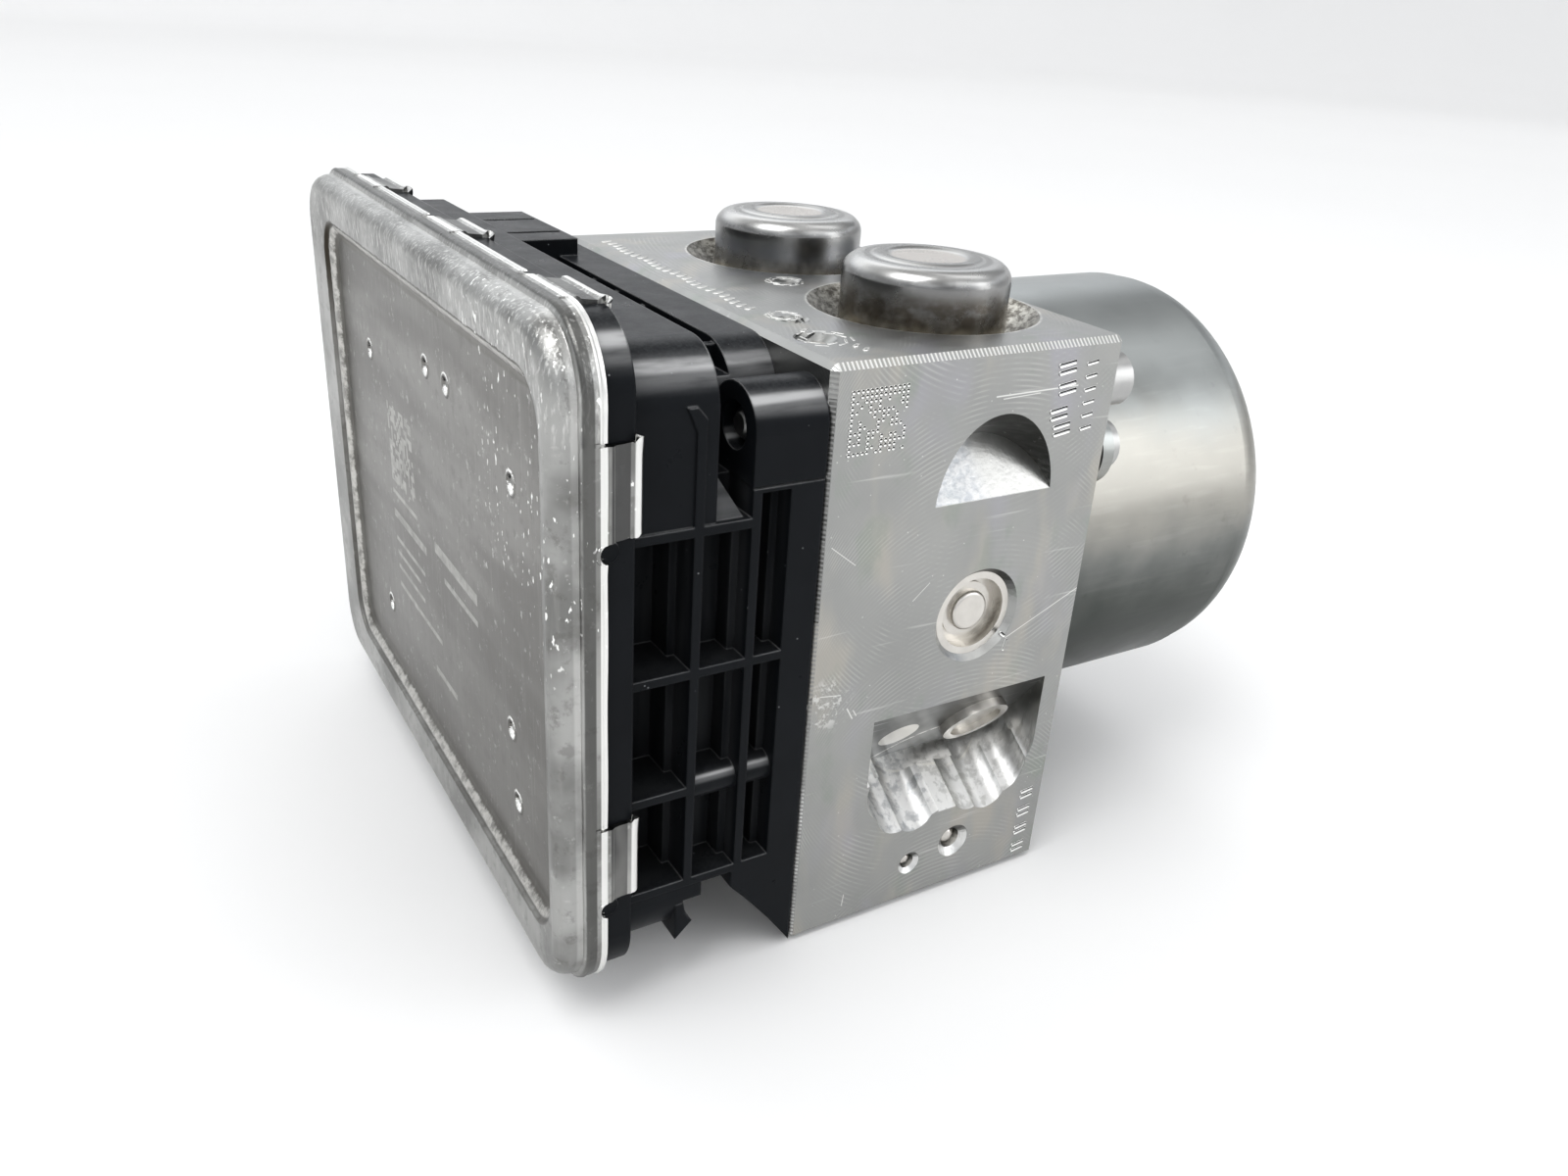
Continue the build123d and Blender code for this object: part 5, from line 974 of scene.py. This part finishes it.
# Accumulator cups, turned about a vertical line: radius and height, over a soft shoulder
CUP_PROFILE = [
    (11.4, 76.0), (11.4, 80.0), (11.36, 84.0), (11.4, 85.8),
    *[(9.0 + 2.4 * cos(radians(a)), 86.62 + 2.4 * sin(radians(a))) for a in range(6, 90, 7)],
    (8.6, 89.04), (7.9, 89.03), (7.5, 89.12), (7.1, 89.3), (6.75, 89.37), (6.3, 89.38),
    (5.9, 89.33), (5.6, 89.2), (5.35, 89.08), (5.1, 89.02), (4.6, 89.0), (3.0, 89.0),
    (1.4, 89.0), (0.4, 89.0), (0.02, 89.0),
]
CUP_POINTS = 112
for side_name, cup_y in CUP_YS.items():
    cup = Shape()
    cup_rows = []
    for r, z in CUP_PROFILE:
        row = []
        for i in range(CUP_POINTS):
            a = 2 * pi * i / CUP_POINTS
            if r > 11:
                dent = 0.05 * sin(a * 2 + 1) * max(0, 1 - abs(z - 83) / 3)
            else:
                dent = 0.02 * sin(a * 3) * (z > 88)
            dented = r - abs(dent)
            row.append((CUP_X + dented * cos(a), cup_y + dented * sin(a), z))
        cup_rows.append(row)
    cup.sheet(cup_rows, (0, 0, 1), closed=True)
    crisp(cup.piece(f"cup_{side_name}", "cap_steel", f"accumulator_cap_{side_name}"), 60)

# Peened dots and strokes: small craters with raised lips that stand just proud of the face, as
# rows of a radius and a height
CRATER_POINTS = 14
LIP = ((0.245, 0.0), (0.235, 0.05), (0.215, 0.062), (0.05, 0.006), (0.01, 0.005))


def peen(shape, place, u, v, half=0.0, tilt=0.0, scale=1.0):
    """A crater on a face, round or drawn out along a short stroke."""
    crater_rows = []
    for r, height in LIP:
        row = []
        for i in range(CRATER_POINTS):
            a = 2 * pi * (i + 0.5) / CRATER_POINTS
            run = (half if cos(a) > 0 else -half) + r * scale * cos(a)
            rise = r * scale * sin(a)
            at_u = u + run * cos(tilt) - rise * sin(tilt)
            at_v = v + run * sin(tilt) + rise * cos(tilt)
            row.append(place(at_u, at_v, height * scale))
        crater_rows.append(row)
    shape.sheet(crater_rows, outward_of(place), closed=True)


def on_near(u, v, height):
    return (u, -BLOCK_HALF_Y - height, v)


def on_top(u, v, height):
    return (u, v, BLOCK_TOP + height)


def outward_of(place):
    """The direction out of a face."""
    return tuple(after - before for before, after in zip(place(0, 0, 0), place(0, 0, 1)))


# A square of random dots in an L-shaped frame, a little out of true
SQUARE_CELLS = 13
SQUARE_X, SQUARE_Z = -19.6, 71.5
marks = Shape()
for column in range(SQUARE_CELLS):
    for row in range(SQUARE_CELLS):
        framed = column == 0 or row == SQUARE_CELLS - 1
        if framed or dice.random() < 0.55:
            z = SQUARE_Z + row * 0.63 + column * 0.015
            peen(marks, on_near, SQUARE_X + column * 0.64, z, scale=1.12)
# Plain short strokes on the near face and along the top's left edge
for x, z in ((12.9, 79.6), (13.4, 76.9), (12.6, 73.6), (13.5, 71.4)):
    peen(marks, on_near, x, z, 1.15, radians(8), 1.5)
    peen(marks, on_near, x + 0.2, z - 1.0, 1.15, radians(8), 1.5)
for i in range(6):
    peen(marks, on_near, 17.2 + i * 0.12, 79.4 - i * 1.75, 0.75, radians(8), 1.2)
for i in range(4):
    for z in (13.0, 12.0):
        peen(marks, on_near, 18.9, z - i * 3.3, 0.9, radians(6), 1.5)
for i in range(26):
    peen(marks, on_top, -18.4 + 0.3 * sin(i), 33.0 - i * 1.85, 0.62, radians(20), 1.35)
for u, v in ((-15.2, -33.2), (-15.0, -35.0), (-17.6, -25.2)):
    peen(marks, on_top, u, v, 0.5, radians(40), 1.3)
# Rings of strokes where the plugs in the top face are staked
for u, v, ring_r in ((-17.2, -29.1, 2.5), (-16.0, -17.8, 1.7), (-5.3, 0.2, 1.9)):
    for i in range(7):
        a = 2 * pi * i / 7 + dice.uniform(-0.15, 0.15)
        reach = ring_r * dice.uniform(0.95, 1.1)
        peen(marks, on_top, u + reach * cos(a), v + reach * sin(a), 0.62, a + pi / 2 + 0.3, 0.7)
        outer_u, outer_v = 1.3 * reach * cos(a + 0.4), 1.3 * reach * sin(a + 0.4)
        peen(marks, on_top, u + outer_u, v + outer_v, 0.7, a + pi / 2 + 0.45, 0.6)
# Staking nicks by the pump plug
peen(marks, on_near, 8.9, 41.9, 0.35, radians(-40), 1.3)
peen(marks, on_near, 9.6, 40.1, 0.7, radians(75), 1.0)
marks.piece("peened_marks", "block_aluminium", finish=peened_finish())

# Each spring gets a mesh of its own in place of its CAD part. Each has a length and a stroke in
# millimetres
ACCUMULATOR_SPRING = (26.75, 8.0)
PUMP_SPRING = (5.15, 1.6)
for side_name, sign in (("near", -1), ("far", 1)):
    for group, (length, stroke), axis, fixed_end in (
        ("accumulator", ACCUMULATOR_SPRING, (0, 0, 1), (0, 0, 87.95)),
        ("pump", PUMP_SPRING, (0, sign, 0), (0, sign * 32.15, 0)),
    ):
        node_name = f"{group}_spring_{side_name}"
        coil = show(f"{group}_coil_{side_name}", nodes[node_name].data.copy())
        crisp(coil)
        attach(coil, "module")
        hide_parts(node_name)
        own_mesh(coil)

# A pale round floor that curves up into a low wall far behind
FLOOR_R, COVE_R, WALL_TOP = 3.2, 0.5, 1.0
cove_angles = [i * pi / 16 for i in range(9)]
cove = [(FLOOR_R - COVE_R + COVE_R * sin(a), COVE_R - COVE_R * cos(a)) for a in cove_angles]
backdrop = turned("backdrop", [(0.0001, 0), (1.0, 0), *cove, (FLOOR_R, WALL_TOP)], 64)
backdrop.location.z = cad_box[0][2] - 0.0002
# The floor glows faintly, painted light that lifts it and the shadows on it
glow = {"Emission_Color": (1, 1, 1, 1), "Emission_Strength": 0.03}
pale = Finish("pale_floor", (0.8, 0.8, 0.8), 0.0, 0.75, **glow)
pale.color(pale.noise(0.3), (0.79, 0.79, 0.79), (0.81, 0.81, 0.81))
backdrop.data.materials.append(pale.material)

# Soft sky: bright overhead, darker towards the horizon, with large soft patches
world = bpy.data.worlds.new("studio")
bpy.context.scene.world = world
world.use_nodes = True
sky = world.node_tree
coordinate = sky.nodes.new("ShaderNodeTexCoord")
parts = sky.nodes.new("ShaderNodeSeparateXYZ")
sky.links.new(coordinate.outputs["Generated"], parts.inputs[0])
ramp = sky.nodes.new("ShaderNodeValToRGB")
sky.links.new(parts.outputs["Z"], ramp.inputs[0])
sky_colors = ramp.color_ramp.elements
sky_colors[0].position, sky_colors[0].color = 0.2, (0.3, 0.31, 0.33, 1)
sky_colors[1].position, sky_colors[1].color = 0.95, (1.0, 1.0, 1.0, 1)
sky_colors.new(0.5).color = (0.62, 0.63, 0.64, 1)
patches = sky.nodes.new("ShaderNodeTexNoise")
patches.inputs["Scale"].default_value = 1.6
patches.inputs["Detail"].default_value = 1.0
sky.links.new(coordinate.outputs["Generated"], patches.inputs["Vector"])
spread = sky.nodes.new("ShaderNodeMapRange")
for socket, value in zip(spread.inputs[1:5], (0.38, 0.62, 0.35, 1.45)):
    socket.default_value = value
sky.links.new(patches.outputs["Fac"], spread.inputs[0])
patched = sky.nodes.new("ShaderNodeMix")
patched.data_type = "RGBA"
patched.blend_type = "MULTIPLY"
patched.inputs[0].default_value = 1.0
sky.links.new(ramp.outputs[0], patched.inputs[6])
sky.links.new(spread.outputs[0], patched.inputs[7])
back = sky.nodes["Background"]
back.inputs["Strength"].default_value = 1.7
sky.links.new(patched.outputs[2], back.inputs["Color"])


def soft_light(name, spot, aim, size, watts):
    light = bpy.data.lights.new(name, "AREA")
    light.shape = "RECTANGLE"
    light.size, light.size_y = size
    light.energy = watts
    lamp = bpy.data.objects.new(name, light)
    bpy.context.scene.collection.objects.link(lamp)
    lamp.location = spot
    lamp.rotation_euler = (Vector(aim) - Vector(spot)).to_track_quat("-Z", "Y").to_euler()


soft_light("key", (-0.3, -0.1, 0.75), (0, 0, 0.05), (0.45, 0.45), 1.6)
soft_light("side", (0.55, -0.5, 0.3), (0.04, 0, 0.05), (0.25, 0.5), 0.8)

# The camera stands where the photograph was taken from
CAMERA_SPOT = (-0.0976, -0.1505, 0.1189)
forward = Vector((0.4840, 0.7607, -0.4326)).normalized()
right = Vector((0.8577, -0.5103, 0.0623))
right = (right - forward * right.dot(forward)).normalized()
up = right.cross(forward)
camera_data = bpy.data.cameras.new("camera")
camera_data.sensor_width = 36.0
camera_data.lens = 28.2
camera_data.clip_start = 0.005
camera = bpy.data.objects.new("camera", camera_data)
bpy.context.scene.collection.objects.link(camera)
facing = Matrix((right, up, -forward)).transposed()
camera.matrix_world = Matrix.Translation(CAMERA_SPOT) @ facing.to_4x4()
bpy.context.scene.camera = camera
bpy.context.scene.view_settings.view_transform = "Standard"
bpy.context.scene.view_settings.look = "Medium High Contrast"
